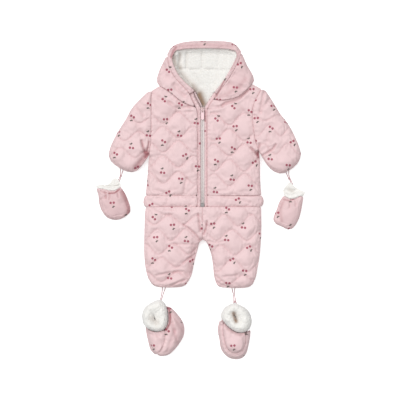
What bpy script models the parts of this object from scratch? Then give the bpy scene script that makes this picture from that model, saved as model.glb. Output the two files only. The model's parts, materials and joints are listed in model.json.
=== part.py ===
"""Padded baby snowsuit with a hood, laid flat on its back with its mittens and booties on cord loops.

Frame: metres, +Z up, +Y towards the hood, +X towards the baby's left hand. Right and left are the
baby's own. The tables below are in millimetres on the plane that the suit lies on. Every padded
piece is a wall: plain on the inside, where front and back lie on each other, and rounded, folded
and quilted on the outside. The back's outside is the flat underside.
"""

import math

import bpy
import numpy as np

MM = 0.001
CENTRE = (1.0, -1.9)  # middle of the outline in the tables' millimetres, which becomes the origin

# Driving sizes, millimetres.
SEAM_GAP = 0.5  # between two pieces sewn to each other, measured across the sheet
LAYER_GAP = 0.3  # between pieces that lie on each other
BACK_THICK = 14.0  # the padded back, from the floor to its inner face
FRONT_CROWN = 19.0
SLEEVE_CROWN = 24.0
LEG_CROWN = 22.0
HOOD_CROWN = 24.0
BAND_CROWN = 27.0
ZIP_X = 6.5  # the zip's centre line
TAPE_TOP = 9.5
WELT_CROWN = 14.5
QUILT_DEPTH = 4.5
QUILT_HALF_WIDTH = 5.2
FINE = 9.0  # spacing of the points of a quilted face
COARSE = 13.0  # spacing of the points of a plain face
SHARP_TURN = 0.6  # radians: a seam that turns more than this in one step has a corner there

# How a piece ends along an edge: height left there as a share of its crown, width of the roll.
FREE = (0.07, 27.0)
HEM = (0.10, 20.0)
SEAM = (0.70, 9.0)
RIM = (0.62, 9.0)
CUT = (1.0, 9.0)
WELT_ROLL = (0.72, 3.5)
SIDE_SEAM = (0.78, 10.0)

# Seams and outlines, each a smooth curve through its points (x, y).
CURVES = {
    "armhole_right": [(-126, 281), (-127, 262), (-127, 233), (-127, 181), (-127.5, 150), (-131, 116)],
    "side_right": [(-131, 116), (-134, 90), (-137, 51), (-141, 10.4)],
    "shoulder_right": [(-126, 281), (-105, 294)],
    "neck_right": [(-105, 294), (-88, 285), (-70, 272), (-52, 257), (-33, 247), (-20, 242), (-10, 237)],
    "armhole_left": [(160, 286), (149, 267), (140, 250), (136, 225), (137, 199), (140, 173), (145, 147),
                     (153, 124)],
    "side_left": [(153, 124), (155, 100), (156, 51), (159, 10.4)],
    "shoulder_left": [(160, 286), (135, 299)],
    "neck_left": [(135, 299), (117, 281), (99, 267), (78, 260), (55, 257.5), (35, 258)],
    "neck_back": [(-105, 294), (-60, 288), (15, 285), (80, 290), (135, 299)],
    "welt_right_out_upper": [(-27, 272), (-21, 257), (-10, 237)],
    "welt_right_out": [(-10, 237), (-7.6, 228), (-7.2, 200), (-7.2, 10.4)],
    "welt_right_in_upper": [(-18, 278), (-13, 262), (-5, 248), (1.3, 237)],
    "welt_right_in": [(1.3, 237), (1.3, -19)],
    "tape_right_in_upper": [(-12.5, 280), (-5, 264), (2, 251), (ZIP_X - 0.1, 240)],
    "zip_centre": [(ZIP_X, 237), (ZIP_X, -19)],
    "welt_left_in_upper": [(37, 278), (28, 263), (19, 250), (11.7, 237)],
    "welt_left_in": [(11.7, 237), (11.7, -19)],
    "welt_left_out_upper": [(43, 272), (35, 258)],
    "welt_left_out": [(35, 258), (26, 246), (20.3, 234), (19.2, 215), (19.2, 10.4)],
    "rim_right": [(-12.5, 280), (-24, 290), (-39, 303), (-57, 324), (-68, 347), (-72, 367), (-63, 385)],
    "rim_top": [(-63, 385), (-34, 390), (13, 391), (65, 390), (90, 385)],
    "rim_left": [(90, 385), (96, 373), (88, 354), (75, 330), (62, 309), (50, 292), (37, 278)],
    "band_out_right": [(-27, 272), (-36, 284), (-50, 299), (-68, 321), (-80, 346), (-85, 376)],
    "hood_top": [(-85, 376), (-76, 392), (-62, 402), (-34, 409), (18, 411), (73, 409), (94, 400),
                 (107, 382)],
    "band_out_left": [(107, 382), (102, 365), (90, 340), (76, 316), (62, 296), (51, 281), (43, 272)],
    "hood_out_right": [(-105, 294), (-112, 306), (-110, 320), (-103, 340), (-94, 358), (-85, 376)],
    "hood_out_left": [(135, 299), (140, 307), (139, 316), (133, 329), (122, 347), (113, 367), (107, 382)],
    "sleeve_right_out": [(-137, 277), (-161, 254), (-179, 233), (-190, 212), (-203, 191), (-216, 170),
                         (-226, 150), (-234, 131), (-237, 113)],
    "sleeve_right_hem": [(-237, 113), (-230, 98), (-215, 86), (-198, 76), (-180, 70.5), (-163, 75),
                         (-150, 88), (-140, 102), (-131, 116)],
    "sleeve_left_out": [(170, 281), (182, 264), (195, 243), (208, 222), (224, 202), (237, 181),
                        (247, 160), (256, 139), (262, 118)],
    "sleeve_left_hem": [(262, 118), (257, 100), (247, 87), (231, 75), (213, 67), (195, 71), (179, 83),
                        (166, 102), (153, 124)],
    "band_side_right": [(-141, 10.4), (-146, 2), (-147, -9), (-143, -19)],
    "band_side_left": [(159, 10.4), (164, 3), (165, -8), (160, -19)],
    "leg_right_out": [(-140, -19), (-143, -40), (-144, -79), (-145, -118), (-144, -152), (-141, -178),
                      (-135, -202), (-125, -219)],
    "leg_right_in": [(ZIP_X, -105), (-1, -112), (-6, -129), (-12, -150), (-17, -173), (-22, -196),
                     (-31, -213)],
    "leg_right_hem": [(-125, -219), (-112, -226), (-85, -228), (-55, -227), (-40, -223), (-31, -213)],
    "leg_left_out": [(158, -19), (159, -50), (159, -79), (157, -118), (154, -150), (149, -178),
                     (145, -200), (137, -219)],
    "leg_left_in": [(ZIP_X, -105), (16, -110), (24, -127), (30, -147), (34, -173), (36, -196), (41, -215)],
    "leg_left_hem": [(41, -215), (50, -226), (80, -229), (110, -229), (128, -226), (137, -219)],
    "centre_front": [(ZIP_X, -19), (ZIP_X, -105)],
}

# Quilting: each row is one stitched wave that runs across a piece.
# (middle_y, crest_x, half_height, wavelength)
QUILTS = {
    "front_right": [(211, -56, 15, 79), (174, -17, 15, 79), (137, -56, 15, 79), (98, -17, 15, 79),
                    (57, -56, 15, 79)],
    "front_left": [(208, 36, 15.5, 79), (167, 75, 15.5, 79), (128, 36, 15.5, 79), (88, 75, 15.5, 79),
                   (51, 36, 15.5, 79)],
    "leg_right": [(-53, -81, 12, 74), (-92, -38, 15, 72), (-128, -68, 14, 76), (-163, -100, 13, 78),
                  (-200, -60, 13, 80)],
    "leg_left": [(-54, 62, 15, 72), (-92, 82, 14, 78), (-131, 126, 13, 72), (-170, 84, 16, 80),
                 (-208, 112, 12, 78)],
    "sleeve_right": [(207, -196, 9, 78), (164, -232, 12, 74), (121, -206, 13, 76)],
    "sleeve_left": [(212, 205, 8, 76), (178, 178, 14, 60), (131, 226, 14, 62)],
}

# Folds: a soft trough (or, with a negative depth, a ridge) along a line.
# (x1, y1, x2, y2, depth, half_width)
FOLDS = {
    "front_right": [(-120, 270, -70, 240, 3.0, 8), (-75, 258, -20, 234, 3.5, 6), (-110, 40, -95, 20, 2.0, 8)],
    "front_left": [(130, 288, 91, 256, 5.0, 6), (91, 256, 32, 240, 4.0, 6), (148, 138, 136, 160, 4.0, 6)],
    "sleeve_right": [(-153, 190, -149, 150, 2.5, 9), (-149, 150, -140, 126, 4.0, 9),
                     (-164, 236, -146, 216, 2.5, 9)],
    "sleeve_left": [(166, 266, 150, 214, 4.0, 6), (178, 252, 163, 226, 3.5, 6), (165, 114, 190, 132, 4.5, 6),
                    (190, 132, 196, 146, 3.5, 6)],
    "leg_right": [(-3, -36, 4, -94, 4.0, 6), (-68, -116, -20, -116, 2.0, 7), (-112, -198, -42, -188, 3.5, 7)],
    "leg_left": [(17, -64, 9, -94, 4.0, 6), (60, -200, 96, -196, 2.5, 7)],
    "hood_side_right": [(-92, 346, -84, 318, 2.0, 8), (-66, 296, -30, 262, 2.5, 7)],
    "hood_side_left": [(103, 372, 99, 352, 2.0, 6), (78, 296, 104, 288, 2.0, 8)],
    "hood_lining_back": [(-52, 362, -54, 322, 2.2, 7), (-34, 362, -35, 330, 1.6, 5), (5, 372, 5, 342, 1.2, 5),
                         (-50, 336, 76, 334, 1.2, 5), (-40, 320, -8, 280, 2.0, 8)],
}

# Mittens: outline curves round the pink body and its plush lip, wrist to finger end.
MITTENS = {
    "right": {
        "wrist": [(-270, 30), (-252, 27), (-235, 23), (-219, 23), (-206, 33)],
        "left": [(-270, 30), (-264, 12), (-262, -8), (-255, -29), (-242, -46), (-228, -52)],
        "right": [(-206, 33), (-194, 15), (-186, -4), (-181, -20), (-182, -34), (-196, -46)],
        "end": [(-228, -52), (-218, -53), (-207, -51), (-196, -46)],
        "lip_far": [(-273, 38), (-257, 41), (-240, 40.5), (-228, 56), (-214, 57), (-204, 41)],
        "lip_near": [(-273, 38), (-255, 40), (-236, 37), (-219, 37), (-204, 41)],
        "gathers": [(-246, 20, -244, 2, 2.2, 4), (-228, 18, -226, -2, 2.2, 4), (-212, 20, -206, 4, 2.2, 4)],
    },
    "left": {
        "wrist": [(217, 10), (232, 1), (246, 2), (258, 8), (269, 9)],
        "left": [(217, 10), (206, -6), (199, -26), (191, -44), (190, -54), (198, -64)],
        "right": [(269, 9), (266, -8), (263, -26), (258, -46), (250, -63), (241, -74)],
        "end": [(198, -64), (214, -71), (229, -78), (241, -74)],
        "lip_far": [(213, 24), (222, 38), (234, 47), (243, 40), (254, 30), (275, 22)],
        "lip_near": [(213, 24), (224, 17), (240, 15), (256, 22), (275, 22)],
        "gathers": [(232, -4, 232, -24, 2.2, 4), (247, -2, 248, -22, 2.2, 4), (220, 0, 217, -18, 2.0, 4)],
    },
}

# Booties: the plush cuff is a ring round the foot's hollow, the pink pieces lie round it.
BOOTIES = {
    "right": {
        "sole": [(-122, -276), (-142, -300), (-141, -334), (-134, -370), (-121, -396), (-96, -401),
                 (-68, -383), (-50, -352), (-50, -322), (-72, -292), (-98, -270)],
        "cuff": [(-104, -259), (-127, -268), (-146, -285), (-149, -313), (-137, -333), (-112, -341),
                 (-92, -336), (-84, -317), (-84, -292), (-91, -270)],
        "hollow": (-117, -306, 9, 14, 20),  # x, y, half width, half length, turn in degrees
        "vamp_start": [(-138.5, -334.5), (-126, -340), (-112, -342.5), (-91, -337.5)],
        "vamp_left": [(-138.5, -334.5), (-137, -352), (-134, -370), (-128, -390), (-116, -402)],
        "vamp_right": [(-91, -337.5), (-90, -356), (-94, -374), (-102, -388)],
        "vamp_end": [(-116, -402), (-108, -397), (-102, -388)],
        "side_crown": 31.0,
        "side_heel": [(-87.5, -273), (-82.5, -291), (-82.5, -317), (-91, -337.5)],
        "side_out": [(-82, -276), (-66, -289), (-48, -312), (-41, -330), (-42, -352), (-52, -371),
                     (-64, -387), (-83, -403), (-108, -406)],
    },
    "left": {
        "sole": [(88, -276), (64, -290), (56, -312), (54, -340), (59, -372), (68, -395), (84, -406),
                 (103, -407), (116, -394), (121, -366), (124, -334), (126, -306), (112, -283)],
        "cuff": [(90, -269), (69, -277), (57, -290), (54, -305), (64, -318), (76, -331), (96, -343),
                 (116, -343), (131, -330), (133, -308), (121, -284)],
        "hollow": (91, -303, 6, 14, 22),
        "vamp_start": [(62, -317.5), (75, -332), (95.5, -344.5), (117, -344.5)],
        "vamp_left": [(62, -317.5), (60, -340), (63, -361), (68, -379)],
        "vamp_right": [(117, -344.5), (118, -362), (115, -378), (109, -389)],
        "vamp_end": [(68, -379), (78, -393), (94, -397), (109, -389)],
        "side_crown": 25.0,
        "side_heel": None,
        "side_out": [(52.5, -309.5), (46, -335), (50, -362), (56, -391), (76, -411), (103, -414), (119, -401),
                     (126, -378), (130, -356), (131.5, -333)],
    },
}
BOOTIE_SOLE = 5.0
BOOTIE_VAMP_CROWN = 35.0
CUFF_TOP = 54.0
CUFF_WAVES = 7
CUFF_POINTS = 26
# Half of the cuff's section: (share of the way from its outline to the hollow, share of its height).
CUFF_SECTION = ((0.10, 0.0), (0.0, 0.25), (0.02, 0.55), (0.15, 0.83), (0.42, 1.0), (0.72, 0.96), (0.94, 0.78),
                (1.0, 0.0))
LINING_WALL = 14.0  # width of the lining's soft wall inside the band
LINING_END = 1.5  # the same where the wall runs out at the neck
LINING_CORNER = 9.0  # length beside each upper corner along which its inner line is straight
LINING_RISE = 20.0
LINING_FLOOR = 5.0
MITTEN_BACK = 9.0
MITTEN_CROWN = 17.0
MITTEN_MOUTH = 5.2  # height of the gap between the two plush lips
LIP_THICK = 7.5

# Loops of thin cord: (x, y) from the mitten or bootie, round the end under the suit's hem, and back.
LOOP_DIAMETER = 2.0
LOOP_Z = 1.3
LOOP_STEP = 2.6  # spacing of a loop's points, in diameters
LOOPS = {
    "loop_mitten_right": [(-217, 35.5), (-213.6, 46.5), (-210, 56), (-207.6, 61), (-206.6, 66.5),
                          (-206.7, 72), (-207.4, 78), (-207.8, 83.9), (-206.6, 86.9), (-203.6, 88.1),
                          (-200.6, 86.9), (-199.4, 83.9), (-200.1, 78), (-201.4, 72), (-202.9, 66.5),
                          (-204.2, 61.5), (-206.5, 55.5), (-209.8, 46.5), (-213, 35)],
    "loop_mitten_left": [(240.8, 29.8), (238, 38), (235.7, 44.5), (233.6, 49.5), (231, 54.5),
                         (228.6, 59), (226.4, 64), (224.4, 69), (222.8, 74.5), (222.1, 80.1),
                         (223.3, 83.1), (226.3, 84.35), (229.3, 83.1), (230.5, 80.1), (230.9, 74.5),
                         (230.8, 69), (231.2, 64), (232.3, 59), (234.3, 54.2), (236.7, 49.5),
                         (238.9, 44.5), (241.4, 38.5), (244.4, 30.8)],
    "loop_bootie_right": [(-104.4, -269.4), (-103.5, -263.5), (-102.3, -257), (-100.8, -250),
                          (-99.4, -243), (-98.4, -236), (-97.8, -230), (-97.4, -223.8), (-96.2, -220.8),
                          (-93.2, -219.6), (-90.2, -220.8), (-89, -223.8), (-90.2, -230), (-92.7, -237),
                          (-95.1, -244), (-97.2, -251), (-99, -257.5), (-100.3, -263.5),
                          (-101.1, -268.4)],
    "loop_bootie_left": [(86.6, -274.6), (87.5, -268), (87.6, -261), (87.2, -254), (86.3, -247),
                         (85, -240), (83.3, -232.5), (82.2, -226.15), (83.4, -223.2), (86.4, -221.95),
                         (89.4, -223.2), (90.6, -226.15), (90.2, -232.5), (89.4, -240), (89.8, -247),
                         (91, -254), (92.4, -261), (94, -268), (95.2, -275.8)],
}

# Slider and pull tab.
SLIDER_Y = 233.0
SLIDER_SIZE = (10.0, 13.0, 3.4)
BRIDGE_WIDTH = 2.4
BRIDGE_HALF_LENGTH = 4.4
BRIDGE_POST = 1.5
BRIDGE_BAR = 1.4
TAB_SIZE = (8.0, 27.0, 1.6)
TAB_ARM = 1.6
TAB_CLEARANCE = 0.4  # between the tab's bar and the slider's top and bridge, so that the bar can turn
TAB_EYE_END = 7.5  # from the hinge to where the eye's arms join the plate
STOP_SIZE = (9.0, 8.0, 3.0)

FINISHES = {  # colour, roughness, metallic
    "shell": ((0.80, 0.59, 0.60, 1.0), 0.62, 0.0),
    "plush": ((0.90, 0.88, 0.84, 1.0), 0.95, 0.0),
    "zip_tape": ((0.70, 0.61, 0.61, 1.0), 0.7, 0.0),
    "zip_metal": ((0.66, 0.60, 0.60, 1.0), 0.35, 0.8),
    "pull": ((0.82, 0.62, 0.64, 1.0), 0.45, 0.0),
    "cord": ((0.84, 0.62, 0.62, 1.0), 0.8, 0.0),
}


def clear_scene():
    for thing in list(bpy.data.objects):
        bpy.data.objects.remove(thing, do_unlink=True)


def material(slot):
    """One Principled material for each finish."""
    found = bpy.data.materials.get(slot)
    if found:
        return found
    colour, roughness, metallic = FINISHES[slot]
    made = bpy.data.materials.new(slot)
    made.use_nodes = True
    shader = made.node_tree.nodes["Principled BSDF"]
    shader.inputs["Base Color"].default_value = colour
    shader.inputs["Roughness"].default_value = roughness
    shader.inputs["Metallic"].default_value = metallic
    return made


def add_object(name, points, faces, slot):
    """A named mesh object from points in the tables' millimetres."""
    mesh = bpy.data.meshes.new(name)
    placed = [((x - CENTRE[0]) * MM, (y - CENTRE[1]) * MM, z * MM) for x, y, z in points]
    mesh.from_pydata(placed, [], [tuple(int(i) for i in face) for face in faces])
    mesh.materials.append(material(slot))
    mesh.shade_smooth()
    mesh.set_sharp_from_angle(angle=math.radians(50))
    thing = bpy.data.objects.new(name, mesh)
    bpy.context.collection.objects.link(thing)
    thing.parent = bpy.data.objects["snowsuit"]
    return thing


def smooth(points, per_span=12):
    """A dense Catmull-Rom curve through points; two points make a straight line."""
    points = np.asarray(points, float)
    if len(points) == 2:
        return np.linspace(points[0], points[1], per_span * 4)
    padded = np.vstack([2 * points[0] - points[1], points, 2 * points[-1] - points[-2]])
    found = []
    for a, b, c, d in zip(padded, padded[1:], padded[2:], padded[3:]):
        for t in np.arange(per_span) / per_span:
            found.append(0.5 * (2 * b + (c - a) * t + (2 * a - 5 * b + 4 * c - d) * t**2
                                + (3 * b - a - 3 * c + d) * t**3))
    return np.vstack([found, points[-1]])


def lengths(line):
    return np.concatenate([[0.0], np.cumsum(np.linalg.norm(np.diff(line, axis=0), axis=1))])


def sample(line, shares):
    """Points of a dense line at shares of its length."""
    along = lengths(line)
    return np.column_stack([np.interp(np.asarray(shares) * along[-1], along, line[:, k]) for k in range(2)])


def offset(line, distances):
    """A line moved to its left by distances, one for each point."""
    direction = np.gradient(line, axis=0)
    direction /= np.linalg.norm(direction, axis=1)[:, None]
    normal = np.column_stack([-direction[:, 1], direction[:, 0]])
    return line + normal * np.asarray(distances)[:, None]


def distance_from(points, line):
    """Distance of each point from the nearest point of a dense line."""
    return np.linalg.norm(np.asarray(points)[:, None, :] - line[None, :, :], axis=2).min(axis=1)


class Edge:
    """One side of a panel: curves laid end to end, each with the way that the panel ends there.

    shorten takes a length off each end, so that two edges that meet in a point leave a narrow end."""

    def __init__(self, *parts, shorten=(0.0, 0.0)):
        lines, shares, rolls = [], [], []
        for line, (share, roll) in parts:
            lines.append(line)
            shares.append(np.full(len(line), share))
            rolls.append(np.full(len(line), roll))
        self.line = np.vstack(lines)
        self.share = np.concatenate(shares)
        self.roll = np.concatenate(rolls)
        along = lengths(self.line)
        ends = np.cumsum([len(line) for line in lines])[:-1]
        keep = (along > shorten[0] + 0.5) & (along < along[-1] - shorten[1] - 0.5)
        keep[0], keep[-1] = shorten[0] == 0, shorten[1] == 0
        joints = along[ends]
        self.line, self.share, self.roll = self.line[keep], self.share[keep], self.roll[keep]
        first, along = along[keep][0], lengths(self.line)
        self.joints = (joints - first) / along[-1]

    def at(self, shares):
        """Points at shares of the length, shifted evenly so that one of them stands on each joint."""
        shares = np.array(shares, float)
        nearest = [0, *(np.argmin(np.abs(shares - joint)) for joint in self.joints), len(shares) - 1]
        if len(set(nearest)) < len(nearest):
            return sample(self.line, shares)
        return sample(self.line, np.interp(shares, shares[nearest], [0, *self.joints, 1]))

    def ending(self, shares):
        along = lengths(self.line)
        reached = np.asarray(shares) * along[-1]
        return np.interp(reached, along, self.share), np.interp(reached, along, self.roll)


def curve(name):
    """A named seam as a dense line; a minus sign in front turns it round."""
    if name.startswith("-"):
        return smooth(CURVES[name[1:]])[::-1]
    return smooth(CURVES[name])


def edge(*parts, shorten=(0.0, 0.0)):
    """An edge from (curve name or points, ending) pairs."""
    return Edge(*[(curve(line) if isinstance(line, str) else smooth(line), ending) for line, ending in parts],
                shorten=shorten)


def kinked(points, ending):
    """An edge of straight steps, on whose corners both of the pieces that share it have a point."""
    return Edge(*[(smooth(pair), ending) for pair in zip(points, points[1:])])


def straight(first, last, ending):
    return Edge((np.linspace(first, last, 40), ending))


def stations(length, first_roll, last_roll, pitch):
    """Shares of a length at which points stand, closer together where an edge rolls over."""
    def near(roll):
        roll = min(roll, 0.42 * length)
        steps = (0.0, 0.05, 0.18, 0.42) if roll > 2 * pitch else (0.0, 0.12, 0.45) if roll > pitch else (0.0,)
        return [roll * step for step in steps]

    head, tail = near(first_roll), near(last_roll)
    middle = length - head[-1] - tail[-1]
    count = max(1, round(middle / pitch))
    inner = [head[-1] + middle * k / count for k in range(1, count)]
    return np.array(head + inner + [length - t for t in reversed(tail)]) / length


def rolled(distance, share, roll):
    """Share of the crown's height at a distance from an edge: a quarter ellipse up from the edge."""
    t = np.clip(distance / roll, 0.0, 1.0)
    return share + (1.0 - share) * np.sqrt(1.0 - (1.0 - t) ** 2)


def across_profile(from_first, from_last, first, last):
    """Height between two facing edges, whose rolls share the width when there isn't room for both."""
    reach = from_first[:, -1:]
    (first_share, first_roll), (last_share, last_roll) = first, last
    first_roll, last_roll = first_roll[:, None], last_roll[:, None]
    wanted = first_roll * (first_share[:, None] < 1) + last_roll * (last_share[:, None] < 1)
    fit = np.minimum(1.0, 0.96 * np.maximum(reach, 2.0) / np.maximum(wanted, 1e-6))
    return (rolled(from_first, first_share[:, None], first_roll * fit)
            * rolled(from_last, last_share[:, None], last_roll * fit))


def wave_distance(x, y, middle_y, crest_x, half_height, wavelength):
    """Distance to a stitched wave whose turns are a little rounder than a zigzag's."""
    sharpness = 0.93
    angle = 2 * math.pi * (x - crest_x) / wavelength
    scale = half_height / math.asin(sharpness)
    height = middle_y + scale * np.arcsin(sharpness * np.cos(angle))
    slope = scale * sharpness * np.sin(angle) * 2 * math.pi / wavelength
    slope = slope / np.sqrt(1 - (sharpness * np.cos(angle)) ** 2)
    return np.abs(y - height) / np.sqrt(1 + slope**2)


def segment_distance(x, y, x1, y1, x2, y2):
    run = np.array([x2 - x1, y2 - y1], float)
    share = np.clip(((x - x1) * run[0] + (y - y1) * run[1]) / run.dot(run), 0, 1)
    return np.hypot(x - x1 - share * run[0], y - y1 - share * run[1])


def relief(x, y, quilts, folds):
    """Depth of the stitching and of the folds at a point of the sheet."""
    depth = np.zeros_like(x)
    for row in quilts:
        near = wave_distance(x, y, *row) / QUILT_HALF_WIDTH
        depth = np.maximum(depth, QUILT_DEPTH / (1 + near**2))
    for x1, y1, x2, y2, deep, half_width in folds:
        near = segment_distance(x, y, x1, y1, x2, y2) / half_width
        depth = depth + deep * np.exp(-near**2)
    return depth


def grid_between(left, right, start, end, across, along):
    """Points of a sheet that fills the space between four edges (a Coons patch)."""
    left_line, right_line = left.at(along), right.at(along)
    start_line, end_line = start.at(across), end.at(across)
    u, v = across[None, :, None], along[:, None, None]
    sides = (1 - u) * left_line[:, None] + u * right_line[:, None]
    ends = (1 - v) * start_line[None] + v * end_line[None]
    corners = ((1 - u) * (1 - v) * start_line[0] + u * (1 - v) * start_line[-1]
               + (1 - u) * v * end_line[0] + u * v * end_line[-1])
    return sides + ends - corners


def boundary(rows, columns):
    """Indices round the rim of a grid, anticlockwise when its columns run along X and its rows along Y."""
    index = np.arange(rows * columns).reshape(rows, columns)
    return np.concatenate([index[0, :-1], index[:-1, -1], index[-1, :0:-1], index[:0:-1, 0]])


def signed_area(loop):
    """Twice the area inside a closed loop of points, positive when it runs anticlockwise."""
    after = np.roll(loop, -1, axis=0)
    return np.sum(loop[:, 0] * after[:, 1] - after[:, 0] * loop[:, 1])


def inset_grid(grid, gap):
    """The rim of a grid of points moved inwards by a gap, square to itself and mitred at its corners.

    Where the rim curves inwards, its straight steps would cut across the seam, so it moves by their sag
    too."""
    moved = grid.reshape(-1, 2).copy()
    rim = boundary(*grid.shape[:2])
    points = moved[rim]
    step = np.roll(points, -1, axis=0) - points
    size = np.maximum(np.linalg.norm(step, axis=1), 1e-9)
    ahead = step / size[:, None]
    before = np.roll(ahead, 1, axis=0)
    turned_way = np.sign(signed_area(points))
    inward = np.column_stack([-ahead[:, 1], ahead[:, 0]]) * turned_way
    mitre = inward + np.roll(inward, 1, axis=0)
    mitre /= np.maximum(np.sum(mitre * inward, axis=1), 0.35)[:, None]
    turn = np.arcsin(np.clip((before[:, 0] * ahead[:, 1] - before[:, 1] * ahead[:, 0]) * turned_way, -1, 1))
    hollow = np.where((turn < 0) & (turn > -SHARP_TURN), -turn, 0.0)
    hollow = np.maximum(hollow, 0.5 * np.maximum(np.roll(hollow, 1), np.roll(hollow, -1)))
    sag = hollow * np.maximum(size, np.roll(size, 1)) / 7
    moved[rim] = points + (gap + sag)[:, None] * mitre
    return moved.reshape(grid.shape)


def shell_between(name, outer, inner, slot):
    """A closed wall between an outer grid of points and a plain inner face below or above its rim."""
    rows, columns = outer.shape[:2]
    points = outer.reshape(-1, 3)
    rim = boundary(rows, columns)
    below = points[rim].copy()
    below[:, 2] = inner
    first = len(points)
    index = np.arange(rows * columns).reshape(rows, columns)
    faces = [(index[i, j], index[i, j + 1], index[i + 1, j + 1], index[i + 1, j])
             for i in range(rows - 1) for j in range(columns - 1)]
    count = len(rim)
    for k in range(count):
        after = (k + 1) % count
        faces.append((rim[after], rim[k], first + k, first + after))
    faces.append(tuple(first + k for k in reversed(range(count))))
    mean_side = np.mean(points[:, 2]) - inner
    if (signed_area(points[rim][:, :2]) > 0) != (mean_side > 0):
        faces = [face[::-1] for face in faces]
    return add_object(name, np.vstack([points, below]), faces, slot)


def panel(name, left, right, start=None, end=None, crown=FRONT_CROWN, base=BACK_THICK + LAYER_GAP,
          upwards=True, quilts=(), folds=(), pitch=COARSE, pitch_across=None, slot="shell", gap=SEAM_GAP / 2):
    """A padded panel: plain at the height base, its outside crowned upwards or flattened downwards."""
    start = start or straight(left.line[0], right.line[0], SEAM)
    end = end or straight(left.line[-1], right.line[-1], SEAM)
    tall = max(lengths(left.line)[-1], lengths(right.line)[-1])
    wide = 0.5 * np.linalg.norm(left.at([0.5]) - right.at([0.5])) + 0.5 * max(
        lengths(start.line)[-1], lengths(end.line)[-1])
    along = stations(tall, start.roll[0], end.roll[0], pitch)
    across = stations(wide, left.roll.max(), right.roll.max(), pitch_across or pitch)
    grid = inset_grid(grid_between(left, right, start, end, across, along), gap)
    row_steps = np.linalg.norm(np.diff(grid, axis=1), axis=2)
    from_left = np.concatenate([np.zeros((len(along), 1)), np.cumsum(row_steps, axis=1)], axis=1)
    from_right = from_left[:, -1:] - from_left
    column_steps = np.linalg.norm(np.diff(grid, axis=0), axis=2)
    from_start = np.concatenate([np.zeros((1, len(across))), np.cumsum(column_steps, axis=0)], axis=0)
    from_end = from_start[-1:] - from_start
    height = (across_profile(from_left, from_right, left.ending(along), right.ending(along))
              * across_profile(from_start.T, from_end.T, start.ending(across), end.ending(across)).T)
    x, y = grid[..., 0], grid[..., 1]
    lift = crown * height
    lift = np.maximum(lift - relief(x, y, quilts, folds) * height, 0.07 * crown)
    outside = base + lift if upwards else base - lift
    outer = np.dstack([grid, outside])
    return shell_between(name, outer, base, slot)


def under_panel(name, left, right, start=None, end=None, thick=BACK_THICK, slot="shell", pitch=COARSE,
                pitch_across=2.5 * COARSE):
    """A back panel: flat on the floor, its rim rolled up to the side seam."""
    return panel(name, left, right, start, end, crown=thick, base=thick, upwards=False, pitch=pitch,
                 pitch_across=pitch_across, slot=slot)


def box_faces():
    return [(0, 3, 2, 1), (4, 5, 6, 7), (0, 1, 5, 4), (1, 2, 6, 5), (2, 3, 7, 6), (3, 0, 4, 7)]


def bevelled(thing, width):
    bevel = thing.modifiers.new("edges", "BEVEL")
    bevel.width = width * MM
    bevel.segments = 2
    bevel.limit_method = "ANGLE"
    return thing


def block(name, low, high, slot, width):
    """A box with eased edges."""
    points = [(x, y, z) for z in (low[2], high[2]) for x, y in
              ((low[0], low[1]), (high[0], low[1]), (high[0], high[1]), (low[0], high[1]))]
    return bevelled(add_object(name, points, box_faces(), slot), width)


def extruded(name, outline, low, high, slot):
    """An outline in the YZ plane made solid from x = low to x = high."""
    count = len(outline)
    points = [(x, y, z) for x in (low, high) for y, z in outline]
    faces = [tuple(reversed(range(count))), tuple(range(count, 2 * count))]
    faces += [(k, (k + 1) % count, count + (k + 1) % count, count + k) for k in range(count)]
    return add_object(name, points, faces, slot)


def jacket_body():
    """Back, fronts and hem band."""
    under_panel("back", edge(("armhole_right", CUT), ("side_right", FREE)),
                edge(("armhole_left", CUT), ("side_left", FREE)),
                edge(("shoulder_right", FREE), ("neck_back", CUT), ("-shoulder_left", FREE)),
                straight((-141, 10.4), (159, 10.4), CUT))
    panel("front_right", edge(("armhole_right", SEAM), ("side_right", FREE)),
          edge(("neck_right", SEAM), ("welt_right_out", SEAM)),
          edge(("shoulder_right", HEM)), straight((-141, 10.4), (-7.2, 10.4), SEAM),
          quilts=QUILTS["front_right"], folds=FOLDS["front_right"], pitch=FINE)
    panel("front_left", edge(("neck_left", SEAM), ("welt_left_out", SEAM)),
          edge(("armhole_left", SEAM), ("side_left", FREE)),
          edge(("-shoulder_left", HEM)), straight((19.2, 10.4), (159, 10.4), SEAM),
          quilts=QUILTS["front_left"], folds=FOLDS["front_left"], pitch=FINE)
    under_panel("hem_band_back", edge(("band_side_right", FREE)), edge(("band_side_left", FREE)),
                straight((-141, 10.4), (159, 10.4), CUT), straight((-143, -19), (160, -19), CUT))
    panel("hem_band_right", edge(("band_side_right", FREE)), straight((-7.2, 10.4), (-7.2, -19), SEAM),
          straight((-141, 10.4), (-7.2, 10.4), SEAM), straight((-143, -19), (-7.2, -19), SEAM),
          crown=FRONT_CROWN, pitch=9.0)
    panel("hem_band_left", straight((19.2, 10.4), (19.2, -19), SEAM), edge(("band_side_left", FREE)),
          straight((19.2, 10.4), (159, 10.4), SEAM), straight((19.2, -19), (160, -19), SEAM),
          crown=FRONT_CROWN, pitch=9.0)


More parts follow.
